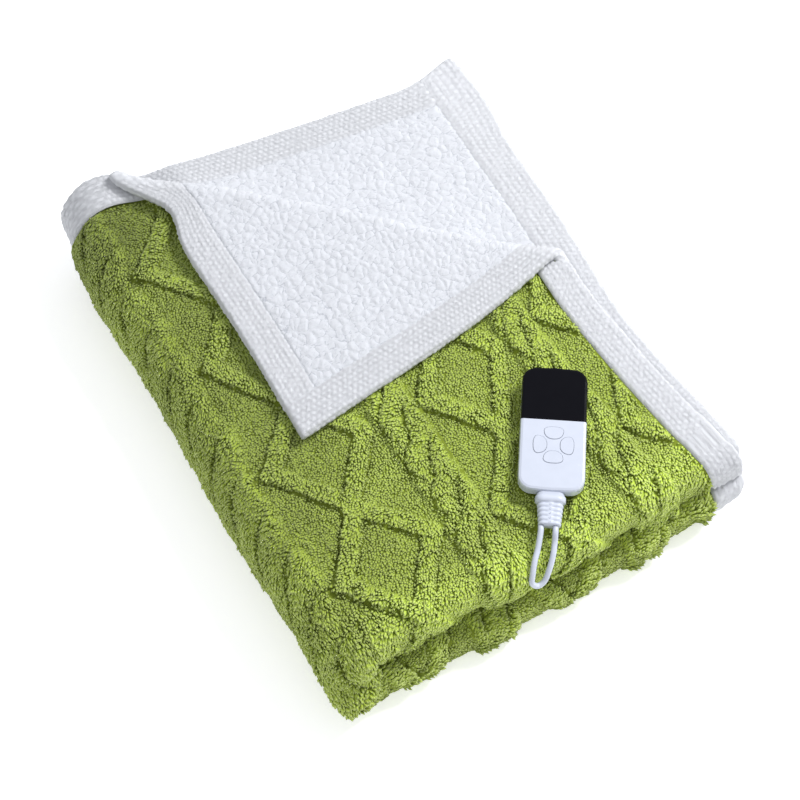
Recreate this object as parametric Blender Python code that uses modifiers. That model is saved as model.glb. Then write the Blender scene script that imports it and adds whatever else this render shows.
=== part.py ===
"""A folded electric blanket with its hand controller lying on top.

The cloth is cut flat first: a plush face panel, a fleece back panel and four binding strips. Every
point of a flat piece is (across, along, height): across from the right-hand edge of the upper half,
along from the free edge of the top layer, height through the cloth with the plush side up. The
cloth is then folded twice along its length and once across, and one corner is turned back.
"""

import math

import bmesh
import bpy
from mathutils import Matrix, Vector

# Folded cloth, in metres
PLY = 0.0105
HALF_CLOTH = 0.0046
BOND_GAP = 0.0002
STACK_LEFT = -0.2065
STACK_RIGHT = 0.189
STACK_FRONT = -0.258
STACK_BACK = 0.247
BACK_FOLD_INSET = 0.012

# Binding
BINDING_WIDTH = 0.033
BINDING_WALL = 0.0015
BINDING_GAP = 0.0003
STEP_LENGTH = 0.002

# Lines at which every layer is creased or may bend a little, so that the layers follow each other
ACROSS_REST_STEP = 0.063
ALONG_RESTS = (-0.190, -0.085, 0.040, 0.150)
SIDE_BEND_STEPS = 8
FRONT_BEND_STEPS = 6
BACK_BEND_STEPS = 4
INSIDE_BEND_STEPS = 4
CORNER_BEND_STEPS = 6

# Turned-back corner of the top layer
CORNER_TIP = Vector((-0.125, -0.065))
CORNER_ROLL = 0.0065
CORNER_REST = 0.0114
CORNER_EASE = 0.05
CORNER_SHEAR = 0.183
SHEAR_START = -0.20
SHEAR_END = 0.02
EASE_LINES = (0.015, 0.040, 0.080, 0.130)
SHEAR_LINES = (-0.06, -0.12)

# How the stack lies: the sizes of its unevenness, then where each one is and how far it spreads
LOWER_ROLL_FORWARD = 0.015
LOWER_BOW = 0.008
LOWER_BOW_WIDTH = 0.19
ROLL_SPLIT = (0.030, 0.052)
FRONT_FADE = 0.09
BACK_SLOPE = -0.127
BACK_ZONE = 0.8
RIM_WAVE = 0.005
RIM_WAVE_PLACE = -0.112
RIM_WAVE_LENGTH = 0.040
RIM_MIDDLE = -0.05
RIM_SPREAD = 0.2
EAR = Vector((0.003, 0.017))
EAR_SPREAD = 0.027
EAR_LINES = (0.016, 0.054)
BACK_LEFT_SWELL = 0.010
BACK_LEFT_PLACE = -0.17
BACK_LEFT_SPREAD = 0.045
BACK_LEFT_DRAW = 0.009
LEFT_WAVE = 0.002
LEFT_WAVE_LENGTH = 0.045
LEFT_WAVE_RISE = 9
BACK_EDGE_DIP = 0.017
BACK_DIP_PLACE = -0.125
BACK_DIP_SPREAD = 0.045
BACK_DIP_START = 0.15
RIGHT_WAIST = 0.007
RIGHT_WAIST_PLACE = -0.04
RIGHT_WAIST_SPREAD = 0.08
TOP_EDGE_DRAW = 0.014
TOP_EDGE_FADE = 0.02
FRONT_SPREAD = 0.010
FRONT_SPREAD_START = -0.12

# Raised pattern of the plush
CABLE_PITCH = 0.147
CABLE_CENTRE = -0.042
CABLE_HALF = 0.021
DIAMOND_TURN = 0.112
CABLE_TURN = DIAMOND_TURN / 3
DIAMOND_WIDEST = -0.078
DIAMOND_REACH = 0.039
BAND_HALF = 0.011
BAND_SHARE = 0.9
STRAND_SLANT = 0.024
STRAND_DIP = 0.45
RELIEF_HEIGHT = 0.0022
RELIEF_FADE = 0.012
PATTERN_ACROSS_STEP = CABLE_HALF / 2
PATTERN_ALONG_STEP = DIAMOND_TURN / 10

# Hand controller
CASE_SIZE = Vector((0.056, 0.1135, 0.015))
CASE_PLACE = Vector((0.0603, -0.1606))
CASE_TURN = math.radians(-34.4)
CASE_CORNER = 0.0105
CASE_EDGE = 0.0025
CASE_UNDER_EDGE = 0.005
CASE_END_BOW = 0.002
WINDOW_LINE = 0.0073
WINDOW_DEPTH = 0.0028
PART_GAP = 0.0003
BUTTON_WIDTH = 0.016
BUTTON_DEPTH = 0.0115
BUTTON_HEIGHT = 0.0016
BUTTON_PROUD = 0.0005
BUTTON_TRAVEL = 0.0008
BUTTON_TAPER = 0.18
CROSS_PLACE = Vector((0.0005, -0.0164))
CROSS_REACH = 0.01135

# Strain relief: distance from the case, half width and half height of its collar and its sleeve's ends
RELIEF_MIDDLE = 0.0075
COLLAR = [
    (0.0000, 0.0116, 0.0058),
    (0.0028, 0.0119, 0.0060),
    (0.0032, 0.0129, 0.0066),
    (0.0076, 0.0129, 0.0066),
    (0.0086, 0.0116, 0.0056),
]
SLEEVE_START = (0.0090, 0.0112, 0.0053)
SLEEVE_FINISH = (0.0292, 0.0094, 0.0045)
SLEEVE_RIBS = 5
RIB_DEPTH = 0.0008

# Cord
CORD_DIAMETER = 0.005
CORD_LEGS = (-0.0070, 0.0052)
CORD_STRAIGHT = 0.005
CORD_CLEAR = 0.0006

# Where the cord's loop rests: x, and how far past the start of the front bend, over the cloth
CORD_REST = [
    (-0.0070, 0.0040),
    (-0.0148, 0.0120),
    (-0.0208, 0.0210),
    (-0.0236, 0.0285),
    (-0.0194, 0.0345),
    (-0.0128, 0.0325),
    (-0.0060, 0.0235),
    (0.0018, 0.0140),
    (0.0080, 0.0060),
]

# Centre of the folded stack's footprint, which becomes the origin
FOOTPRINT_CENTRE = Vector((-0.0055, 0.0025, 0.0))

# The way in which every four-sided face of the flat cloth is halved
DIAGONAL = Vector((1.0, 1.3, 1.7))

# Worked out from the sizes above
PACK = 4 * PLY
FOLD_X = STACK_LEFT + PACK
MIDDLE_Z = 3.5 * PLY + HALF_CLOTH
FLAT_ACROSS = STACK_RIGHT - FOLD_X
SIDE_BEND = math.pi * 2 * PLY
CLOTH_WIDTH = 2 * FLAT_ACROSS + SIDE_BEND
FRONT_Y = STACK_FRONT + 2 * PLY
BACK_FOLD_Y = STACK_BACK - BACK_FOLD_INSET - PLY
LONG_LAYER = STACK_BACK - FRONT_Y
SHORT_LAYER = BACK_FOLD_Y - FRONT_Y
OUTER_BEND = math.pi * 1.5 * PLY
INNER_BEND = math.pi * 0.5 * PLY
TOP_END = LONG_LAYER
FRONT_END = TOP_END + OUTER_BEND
FOURTH_END = FRONT_END + SHORT_LAYER
BACK_END = FOURTH_END + INNER_BEND
THIRD_END = BACK_END + SHORT_LAYER
INSIDE_END = THIRD_END + INNER_BEND
CLOTH_LENGTH = INSIDE_END + LONG_LAYER
CORNER = Vector((STACK_RIGHT, STACK_BACK))
CORNER_WAY = (CORNER - CORNER_TIP).normalized()
CORNER_FOLD = ((CORNER - CORNER_TIP).length + math.pi * CORNER_ROLL) / 2
TOP_Z = MIDDLE_Z + 3.5 * PLY + HALF_CLOTH + RELIEF_HEIGHT
CASE_FLOOR = TOP_Z + PART_GAP


# Folding


def smooth(low, high, value):
    """0 below low, 1 above high, and a soft step between them."""
    part = min(1.0, max(0.0, (value - low) / (high - low)))
    return part * part * (3 - 2 * part)


def bump(value, middle, spread):
    """1 at the middle, dying out smoothly to both sides."""
    return math.exp(-(((value - middle) / spread) ** 2))


def layer_profile(along, height):
    """Depth and distance from the side fold's axis of a point of the four stacked layers."""
    if along < TOP_END:
        return STACK_BACK - along, 3.5 * PLY + height
    if along < FRONT_END:
        turn = (along - TOP_END) / (1.5 * PLY)
        radius = 1.5 * PLY + height
        return FRONT_Y - radius * math.sin(turn), 2 * PLY + radius * math.cos(turn)
    if along < FOURTH_END:
        return FRONT_Y + along - FRONT_END, 0.5 * PLY - height
    if along < BACK_END:
        turn = (along - FOURTH_END) / (0.5 * PLY)
        radius = 0.5 * PLY + height
        return BACK_FOLD_Y + radius * math.sin(turn), PLY - radius * math.cos(turn)
    if along < THIRD_END:
        return BACK_FOLD_Y - along + BACK_END, 1.5 * PLY + height
    if along < INSIDE_END:
        turn = (along - THIRD_END) / (0.5 * PLY)
        radius = 0.5 * PLY - height
        return FRONT_Y - radius * math.sin(turn), 2 * PLY - radius * math.cos(turn)
    return FRONT_Y + along - INSIDE_END, 2.5 * PLY - height


def turn_corner(x, y, height):
    """The top layer's back corner, rolled over a diagonal and laid on the layer itself."""
    dip = bump(x, BACK_DIP_PLACE, BACK_DIP_SPREAD) * smooth(BACK_DIP_START, STACK_BACK, y)
    y -= BACK_EDGE_DIP * dip
    beyond = CORNER_FOLD - (CORNER - Vector((x, y))).dot(CORNER_WAY)
    shear = CORNER_SHEAR * smooth(SHEAR_START, SHEAR_END, beyond)
    if beyond > 0:
        turn = min(beyond / CORNER_ROLL, math.pi)
        past = max(0.0, beyond - math.pi * CORNER_ROLL)
        ease = CORNER_REST + (2 * CORNER_ROLL - CORNER_REST) * math.exp(-past / CORNER_EASE)
        middle = CORNER_ROLL if turn < math.pi else ease / 2
        lift = (CORNER_ROLL - height) * math.sin(turn)
        rise = middle - (middle - height) * math.cos(turn)
        shift = CORNER_WAY * (lift - past - beyond)
        x += shift.x
        y += shift.y
        height = rise
    return x, y + shear * max(0.0, x - CORNER_TIP.x), height


def settle(point, along):
    """The slack of the whole stack: uneven rims, a skewed back edge and shifted layers."""
    x, y, z = point
    reach = (y - STACK_FRONT) / (STACK_BACK - STACK_FRONT)
    back = smooth(BACK_ZONE, 1.0, reach)
    front = math.exp((STACK_FRONT - y) / FRONT_FADE)
    low = 1 - smooth(*ROLL_SPLIT, z)
    rim = RIM_WAVE * math.cos((x - RIM_WAVE_PLACE) / RIM_WAVE_LENGTH)
    rim *= math.exp(-abs(x - RIM_MIDDLE) / RIM_SPREAD)
    bow = LOWER_ROLL_FORWARD - LOWER_BOW * (x / LOWER_BOW_WIDTH) ** 2
    swell = BACK_LEFT_SWELL * bump(x, BACK_LEFT_PLACE, BACK_LEFT_SPREAD) * back
    spread = FRONT_SPREAD * smooth(FRONT_SPREAD_START, STACK_FRONT, y)
    waist = RIGHT_WAIST * bump(y, RIGHT_WAIST_PLACE, RIGHT_WAIST_SPREAD)
    drawn = TOP_EDGE_DRAW * (1 - smooth(TOP_END - TOP_EDGE_FADE, FRONT_END, along))
    left = BACK_LEFT_DRAW * back + LEFT_WAVE * math.sin(y / LEFT_WAVE_LENGTH + LEFT_WAVE_RISE * z)
    x += smooth(0.0, STACK_RIGHT, x) * (spread - waist - drawn)
    x += (1 - smooth(STACK_LEFT, 0.0, x)) * left
    y += front * ((1 - low) * rim - low * bow) + reach * BACK_SLOPE * point.x + swell
    if along > INSIDE_END:
        away = math.hypot(point.x - STACK_RIGHT, point.y - STACK_BACK)
        pull = bump(away, 0, EAR_SPREAD)
        x += EAR.x * pull
        y += EAR.y * pull
    return Vector((x, y, z))


def folded(across, along, height):
    """Where a point of the flat cloth lies in the folded stack."""
    y, radius = layer_profile(along, height)
    if across < FLAT_ACROSS:
        x = STACK_RIGHT - across
        if along < TOP_END:
            x, y, rise = turn_corner(x, y, height)
            radius = 3.5 * PLY + rise
        point = Vector((x, y, MIDDLE_Z + radius))
    elif across < FLAT_ACROSS + SIDE_BEND:
        turn = (across - FLAT_ACROSS) / (2 * PLY)
        point = Vector((FOLD_X - radius * math.sin(turn), y, MIDDLE_Z + radius * math.cos(turn)))
    else:
        point = Vector((FOLD_X + across - FLAT_ACROSS - SIDE_BEND, y, MIDDLE_Z - radius))
    return settle(point, along) - FOOTPRINT_CENTRE


# Raised pattern


def wave(value):
    """A triangle wave: 1 at 0, -1 at half a turn."""
    part = value % 1.0
    return 4 * abs(part - 0.5) - 1


def ridge(distance, half_width):
    """A rounded band, 1 in its middle and 0 at its sides."""
    part = min(1.0, abs(distance) / half_width)
    return math.sqrt(max(0.0, 1 - part**4))


def pattern_height(x, y):
    """Cables and diamond bands that run from front to back, in columns that take turns."""
    from_cable = (x - CABLE_CENTRE + CABLE_PITCH / 2) % CABLE_PITCH - CABLE_PITCH / 2
    from_diamond = (x - CABLE_CENTRE) % CABLE_PITCH - CABLE_PITCH / 2
    reach = DIAMOND_REACH * (wave((y - DIAMOND_WIDEST) / DIAMOND_TURN) + 1) / 2
    nearest = min(abs(from_diamond - reach), abs(from_diamond + reach))
    bands = BAND_SHARE * ridge(nearest, BAND_HALF)
    slant = STRAND_SLANT * math.sin(math.pi * from_cable / (2 * CABLE_HALF))
    strand = ((y - slant) / CABLE_TURN) % 1.0
    swelling = STRAND_DIP + (1 - STRAND_DIP) * math.sqrt(math.sin(math.pi * strand))
    rope = swelling * ridge(from_cable, CABLE_HALF)
    return RELIEF_HEIGHT * max(bands, rope)


def pattern_place(across, along):
    """The pattern's own x and y, which run on round the folds."""
    return STACK_RIGHT - across, STACK_BACK - along


def relief(across, along):
    """Height of the pattern where it shows, faded out where the cloth lies on something."""
    x, y = pattern_place(across, along)
    fade = smooth(BINDING_WIDTH, BINDING_WIDTH + RELIEF_FADE, across)
    fade *= smooth(BINDING_WIDTH, BINDING_WIDTH + RELIEF_FADE, along)
    side_turn = (across - FLAT_ACROSS) / (2 * PLY)
    front_turn = (along - TOP_END) / (1.5 * PLY)
    fade *= 1 - smooth(2.2, 2.7, front_turn)
    if front_turn < 0:
        fade *= 1 - smooth(2.2, 2.7, side_turn)
    else:
        fade *= 1 - smooth(2.0, 2.5, side_turn) * smooth(1.9, 2.3, front_turn)
    hidden = smooth(-0.012, 0.002, x - CORNER_TIP.x) * smooth(-0.004, 0.010, behind_corner(x, y))
    return pattern_height(x, y) * fade * (1 - hidden)


def behind_corner(x, y):
    """How far a place on the top layer is behind the turned corner's front edge."""
    return y - CORNER_TIP.y - CORNER_SHEAR * (x - CORNER_TIP.x)


def under_corner(x, y):
    """Whether a place on the top layer is well under the turned corner."""
    return x > CORNER_TIP.x + 0.02 and behind_corner(x, y) > 0.04


# Cutting flat pieces


def cut_line(mesh, place, way, wanted=None):
    """A cut across the wanted faces of a flat piece, through place, with way as the cut's normal."""
    faces = [face for face in mesh.faces if wanted is None or wanted(face)]
    edges = {edge for face in faces for edge in face.edges}
    verts = {vert for face in faces for vert in face.verts}
    bmesh.ops.bisect_plane(
        mesh, geom=[*faces, *edges, *verts], plane_co=place, plane_no=way, dist=1e-6
    )


def cut_across(mesh, lines, wanted=None):
    """Cuts that run along the cloth, at distances across it."""
    for line in lines:
        cut_line(mesh, (line, 0, 0), (1, 0, 0), wanted)


def cut_along(mesh, lines, wanted=None):
    """Cuts that run across the cloth, at distances along it."""
    for line in lines:
        cut_line(mesh, (0, line, 0), (0, 1, 0), wanted)


def steps(start, end, count):
    """Both ends of a stretch, and the ends of equal pieces between them."""
    return [start + (end - start) * i / count for i in range(count + 1)]


def regular_lines(low, high, through, spacing):
    """Evenly spaced places between low and high, one of them at or in line with through."""
    first = math.ceil((low - through) / spacing + 0.2)
    last = math.floor((high - through) / spacing - 0.2)
    return [through + spacing * i for i in range(first, last + 1)]


def side_bend_lines():
    return steps(FLAT_ACROSS, FLAT_ACROSS + SIDE_BEND, SIDE_BEND_STEPS)


def front_bend_lines():
    return steps(TOP_END, FRONT_END, FRONT_BEND_STEPS)


def crease_across(mesh):
    """The side fold, and rests at the same places in both halves."""
    rests = regular_lines(FOLD_X, STACK_RIGHT, CABLE_CENTRE, ACROSS_REST_STEP)
    cut_across(mesh, side_bend_lines())
    cut_across(mesh, [STACK_RIGHT - rest for rest in rests])
    cut_across(mesh, [FLAT_ACROSS + SIDE_BEND + rest - FOLD_X for rest in rests])


def crease_along(mesh):
    """The folds at the front and the back, and rests at the same places in all layers."""
    cut_along(mesh, front_bend_lines())
    cut_along(mesh, steps(FOURTH_END, BACK_END, BACK_BEND_STEPS))
    cut_along(mesh, steps(THIRD_END, INSIDE_END, INSIDE_BEND_STEPS))
    for rest in ALONG_RESTS:
        cut_along(mesh, [STACK_BACK - rest, FRONT_END + rest - FRONT_Y])
        cut_along(mesh, [BACK_END + BACK_FOLD_Y - rest, INSIDE_END + rest - FRONT_Y])
    cut_along(mesh, [STACK_BACK - BACK_FOLD_Y, INSIDE_END + SHORT_LAYER])


def edge_lines(size):
    """Where the binding ends and where the full thickness starts, from both edges."""
    near = [BINDING_WIDTH + BINDING_GAP, BINDING_WIDTH + BINDING_GAP + STEP_LENGTH]
    return near + [size - line for line in near]


def near_ear(face):
    """Whether a flat face is at the pulled corner of the layer under the top one."""
    middle = face.calc_center_median()
    return middle.x < 0.1 and middle.y > CLOTH_LENGTH - 0.1


def near_corner(face):
    """Whether a flat face is in the part of the top layer that turns back."""
    middle = face.calc_center_median()
    return middle.x < FLAT_ACROSS and middle.y < 0.42


def crease(mesh):
    """All the cuts that the folds need, the same for every piece of cloth."""
    crease_across(mesh)
    crease_along(mesh)
    cut_across(mesh, edge_lines(CLOTH_WIDTH))
    cut_along(mesh, edge_lines(CLOTH_LENGTH))
    cut_across(mesh, EAR_LINES, near_ear)
    cut_along(mesh, [CLOTH_LENGTH - line for line in EAR_LINES], near_ear)
    roll = math.pi * CORNER_ROLL
    beyond = [*SHEAR_LINES, *steps(0, roll, CORNER_BEND_STEPS), *[roll + past for past in EASE_LINES]]
    for line in beyond:
        place = CORNER_WAY * (CORNER_FOLD - line)
        cut_line(mesh, (*place, 0), (*CORNER_WAY, 0), near_corner)


def on_outside(face):
    """Whether a flat face is on the outer side of its panel."""
    return face.calc_center_median().z > HALF_CLOTH - 1e-5 and abs(face.normal.z) > 0.9


def shows_plush(face):
    """Whether a flat outer face shows its pattern once it is folded."""
    if not on_outside(face):
        return False
    middle = face.calc_center_median()
    front_turn = (middle.y - TOP_END) / (1.5 * PLY)
    side_turn = (middle.x - FLAT_ACROSS) / (2 * PLY)
    full = BINDING_WIDTH + BINDING_GAP + STEP_LENGTH
    if min(middle.x, middle.y, CLOTH_WIDTH - middle.x) < full or front_turn > 2.7:
        return False
    if front_turn < 0:
        x, y = pattern_place(middle.x, middle.y)
        return side_turn < 2.6 and not under_corner(x, y)
    return True


def make_object(name, mesh, collection, material):
    """A bmesh as a named object with its material."""
    data = bpy.data.meshes.new(name)
    mesh.to_mesh(data)
    mesh.free()
    obj = bpy.data.objects.new(name, data)
    obj.data.materials.append(material)
    collection.objects.link(obj)
    return obj


def fold_up(mesh):
    """Turn flat cloth into folded cloth."""
    for face in [face for face in mesh.faces if len(face.verts) == 4]:
        corners = sorted(face.verts, key=lambda vert: vert.co.dot(DIAGONAL))
        ends = (corners[0], corners[-1])
        if mesh.edges.get(ends) is None:
            bmesh.utils.face_split(face, *ends)
    bmesh.ops.triangulate(mesh, faces=mesh.faces[:], quad_method="BEAUTY", ngon_method="BEAUTY")
    bmesh.ops.recalc_face_normals(mesh, faces=mesh.faces[:])
    for vert in mesh.verts:
        vert.co = folded(*vert.co)


def panel(name, is_face, collection, material):
    """One of the two cloths: full thickness in the middle, pressed flat under the binding."""
    inset = BINDING_WALL + BINDING_GAP
    thickness = HALF_CLOTH - BOND_GAP
    mesh = bmesh.new()
    size = Vector((CLOTH_WIDTH - 2 * inset, CLOTH_LENGTH - 2 * inset, thickness))
    centre = Vector((CLOTH_WIDTH / 2, CLOTH_LENGTH / 2, BOND_GAP + thickness / 2))
    add_box(mesh, centre - size / 2, centre + size / 2)
    crease(mesh)
    if is_face:
        refine_plush(mesh)
    press_edges(mesh, is_face)
    fold_up(mesh)
    return make_object(name, mesh, collection, material)


def refine_plush(mesh):
    """Close cuts on the faces that show the raised pattern."""
    columns = regular_lines(FOLD_X, STACK_RIGHT, CABLE_CENTRE, PATTERN_ACROSS_STEP)
    rows = regular_lines(FRONT_Y, STACK_BACK, DIAMOND_WIDEST, PATTERN_ALONG_STEP)
    cut_across(mesh, [STACK_RIGHT - x for x in columns], shows_plush)
    cut_across(mesh, [FLAT_ACROSS + SIDE_BEND + x - FOLD_X for x in columns], shows_plush)
    cut_along(mesh, [STACK_BACK - y for y in rows], shows_plush)


def press_edges(mesh, is_face):
    """Set the outer side's height: thin under the binding, patterned where plush shows."""
    full = HALF_CLOTH
    thin = HALF_CLOTH - BINDING_WALL - BINDING_GAP
    for vert in mesh.verts:
        across, along, height = vert.co
        if height > full - 1e-5:
            edge = min(across, along, CLOTH_WIDTH - across, CLOTH_LENGTH - along)
            pressed = edge < BINDING_WIDTH + BINDING_GAP + 1e-5
            height = thin if pressed else full
            if is_face and not pressed:
                height += relief(across, along)
        vert.co.z = height if is_face else -height


def binding_profile():
    """The ribbon folded over an edge, as distance from the edge and height."""
    outer = HALF_CLOTH
    inner = HALF_CLOTH - BINDING_WALL
    wide = BINDING_WIDTH
    wall = BINDING_WALL
    lower = [(0, -outer), (wide, -outer), (wide, -inner), (wall, -inner)]
    return lower + [(distance, -height) for distance, height in reversed(lower)]


def binding(name, place, start, end, collection, material):
    """A binding strip. place turns (distance from the edge, distance along it) into the cloth's own."""
    mesh = bmesh.new()
    ring = []
    for distance, height in binding_profile():
        across, along = place(distance, start)
        ring.append(mesh.verts.new((across, along, height)))
    cap = mesh.faces.new(ring)
    grown = bmesh.ops.extrude_face_region(mesh, geom=[cap])
    near = Vector((*place(0, start), 0))
    far = Vector((*place(0, end), 0))
    moved = [item for item in grown["geom"] if isinstance(item, bmesh.types.BMVert)]
    bmesh.ops.translate(mesh, verts=moved, vec=far - near)
    crease(mesh)
    fold_up(mesh)
    return make_object(name, mesh, collection, material)


# Hand controller


def case_matrix(x=0.0, y=0.0, z=0.0):
    """A place in the controller's own frame, whose origin is the middle of its underside."""
    place = Vector((CASE_PLACE.x, CASE_PLACE.y, CASE_FLOOR)) - FOOTPRINT_CENTRE
    return Matrix.Translation(place) @ Matrix.Rotation(CASE_TURN, 4, "Z") @ Matrix.Translation((x, y, z))


def add_box(mesh, low, high):
    """A box between two corners."""
    size = Vector(high) - Vector(low)
    centre = (Vector(high) + Vector(low)) / 2
    matrix = Matrix.Translation(centre) @ Matrix.Diagonal(size).to_4x4()
    return bmesh.ops.create_cube(mesh, size=1, matrix=matrix)["verts"]


def case_block(name, collection, material):
    """The controller's whole outer form: bowed ends, round corners and softened rims."""
    mesh = bmesh.new()
    half = CASE_SIZE / 2
    add_box(mesh, (-half.x, -half.y, 0), (half.x, half.y, CASE_SIZE.z))
    upright = [edge for edge in mesh.edges if abs(edge.verts[0].co.z - edge.verts[1].co.z) > 1e-4]
    bmesh.ops.bevel(mesh, geom=upright, offset=CASE_CORNER, segments=5, profile=0.5, affect="EDGES")
    for part in (-0.3, 0.0, 0.3):
        cut_line(mesh, (part * CASE_SIZE.x, 0, 0), (1, 0, 0))
    for vert in mesh.verts:
        bow = 1 - (vert.co.x / half.x) ** 2
        vert.co.y += math.copysign(CASE_END_BOW * bow, vert.co.y)
    for height, radius in ((0, CASE_UNDER_EDGE), (CASE_SIZE.z, CASE_EDGE)):
        rim = [edge for edge in mesh.edges if is_rim(edge, height)]
        bmesh.ops.bevel(mesh, geom=rim, offset=radius, segments=2, profile=0.5, affect="EDGES")
    obj = make_object(name, mesh, collection, material)
    obj.matrix_world = case_matrix()
    return obj


def is_rim(edge, height):
    """Whether an edge is between the case's wall and its flat face at a height."""
    level = all(abs(vert.co.z - height) < 1e-6 for vert in edge.verts)
    return level and any(abs(face.normal.z) < 0.5 for face in edge.link_faces)


def add_cutter(name, mesh, collection, matrix):
    """A helper that is only used to cut."""
    obj = make_object(name, mesh, collection, bpy.data.materials["cutter"])
    obj.matrix_world = matrix
    obj.hide_render = True
    obj.display_type = "WIRE"
    return obj


def boolean(obj, cutter, operation):
    modifier = obj.modifiers.new(cutter.name, "BOOLEAN")
    modifier.operation = operation
    modifier.solver = "EXACT"
    modifier.object = cutter


def petal(grown, height):
    """A key's block: a soft rectangle, narrower towards the middle of the cross."""
    mesh = bmesh.new()
    matrix = Matrix.Translation((0, 0, height / 2))
    bmesh.ops.create_cone(
        mesh, cap_ends=True, segments=24, radius1=1, radius2=1, depth=height, matrix=matrix
    )
    for vert in mesh.verts:
        side = math.copysign(abs(vert.co.x) ** 0.8, vert.co.x)
        out = math.copysign(abs(vert.co.y) ** 0.8, vert.co.y)
        vert.co.x = side * (BUTTON_WIDTH / 2 * (1 + BUTTON_TAPER * out) + grown)
        vert.co.y = out * (BUTTON_DEPTH / 2 + grown)
    return mesh


def housing_and_window(parts, cutters, white, black):
    """The white case, stepped down at its head, and the dark window that caps the step."""
    housing = case_block("housing", parts, white)
    window = case_block("display_window", parts, black)
    step = CASE_SIZE.z - WINDOW_DEPTH
    wide = CASE_SIZE.x
    mesh = bmesh.new()
    add_box(mesh, (-wide, WINDOW_LINE, step), (wide, CASE_SIZE.y, 2 * CASE_SIZE.z))
    boolean(housing, add_cutter("step_cutter", mesh, cutters, case_matrix()), "DIFFERENCE")
    mesh = bmesh.new()
    add_box(
        mesh,
        (-wide, WINDOW_LINE + PART_GAP, step + PART_GAP),
        (wide, CASE_SIZE.y, 2 * CASE_SIZE.z),
    )
    boolean(window, add_cutter("window_keeper", mesh, cutters, case_matrix()), "INTERSECT")
    return housing


def add_buttons(housing, parts, cutters, white):
    """Four keys in a cross, each in its own well, with room to be pressed."""
    depth = BUTTON_HEIGHT - BUTTON_PROUD + BUTTON_TRAVEL + PART_GAP
    for name, quarter in (("up", 0), ("left", 1), ("down", 2), ("right", 3)):
        turn = Matrix.Rotation(quarter * math.pi / 2, 4, "Z")
        spot = CROSS_PLACE + (turn @ Vector((0, CROSS_REACH, 0))).xy
        well = petal(PART_GAP, 2 * depth)
        floor = case_matrix(spot.x, spot.y, CASE_SIZE.z - depth)
        boolean(housing, add_cutter(f"well_{name}", well, cutters, floor @ turn), "DIFFERENCE")
        obj = make_object(f"button_{name}", petal(0, BUTTON_HEIGHT), parts, white)
        rest = case_matrix(spot.x, spot.y, CASE_SIZE.z + BUTTON_PROUD - BUTTON_HEIGHT)
        obj.matrix_world = rest @ turn
        soften = obj.modifiers.new("rounded rim", "BEVEL")
        soften.width = BUTTON_PROUD * 0.6
        soften.segments = 1
        soften.limit_method = "ANGLE"
        soften.angle_limit = math.radians(60)


def sleeve_sections():
    """The collar's and the ribbed sleeve's sections: distance, half width and half height."""
    start = Vector(SLEEVE_START)
    finish = Vector(SLEEVE_FINISH)
    sections = [Vector(row) for row in COLLAR]
    thin = Vector((0, RIB_DEPTH, RIB_DEPTH))
    for rib in range(SLEEVE_RIBS):
        for part, inset in ((0.02, thin), (0.26, thin), (0.34, 0 * thin), (0.92, 0 * thin)):
            sections.append(start.lerp(finish, (rib + part) / SLEEVE_RIBS) - inset)
    return sections


def strain_relief(parts, material):
    """Collar and ribbed sleeve round both ends of the cord, lofted along their axis."""
    mesh = bmesh.new()
    rings = []
    for distance, half_width, half_height in sleeve_sections():
        ring = []
        for i in range(16):
            turn = 2 * math.pi * (i + 0.5) / 16
            side = math.copysign(half_width - half_height, math.cos(turn))
            x = side + half_height * math.cos(turn)
            z = RELIEF_MIDDLE + half_height * math.sin(turn)
            ring.append(mesh.verts.new((x, relief_y(distance), z)))
        rings.append(ring)
    for ring, following in zip(rings, rings[1:]):
        for i in range(16):
            mesh.faces.new((ring[i - 1], ring[i], following[i], following[i - 1]))
    mesh.faces.new(rings[0])
    mesh.faces.new(rings[-1])
    bmesh.ops.recalc_face_normals(mesh, faces=mesh.faces[:])
    obj = make_object("strain_relief", mesh, parts, material)
    obj.matrix_world = case_matrix()


def relief_y(distance):
    """A distance from the case's lower end in the case's own frame."""
    return -CASE_SIZE.y / 2 - CASE_END_BOW - PART_GAP - distance


# Cord


def lay_on_cloth(x, reach):
    """A point of the cord's middle resting on the plush, reach in metres past the front bend's start."""
    height = HALF_CLOTH + RELIEF_HEIGHT + CORD_CLEAR + CORD_DIAMETER / 2
    stretch = 1.5 * PLY / (1.5 * PLY + height) if reach > 0 else 1.0
    return folded(STACK_RIGHT - x, TOP_END + reach * stretch, height)


def cord_route():
    """The loop's points, from the sleeve's left hole round to its right hole."""
    exit_y = relief_y(SLEEVE_FINISH[0]) - PART_GAP
    out = case_matrix().to_3x3() @ Vector((0, -CORD_STRAIGHT, 0))
    left, right = [case_matrix() @ Vector((leg, exit_y, RELIEF_MIDDLE)) for leg in CORD_LEGS]
    resting = [lay_on_cloth(x, reach) for x, reach in CORD_REST]
    return [left, left + out, *resting, right + out, right]


def smooth_route(points, per_span):
    """Points of a Catmull-Rom curve through the route."""
    padded = [2 * points[0] - points[1], *points, 2 * points[-1] - points[-2]]
    line = []
    for a, b, c, d in zip(padded, padded[1:], padded[2:], padded[3:]):
        square = 2 * a - 5 * b + 4 * c - d
        cube = 3 * b - a - 3 * c + d
        for step in range(per_span):
            t = step / per_span
            line.append(b + ((c - a) * t + square * t**2 + cube * t**3) / 2)
    return [*line, points[-1]]


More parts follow.
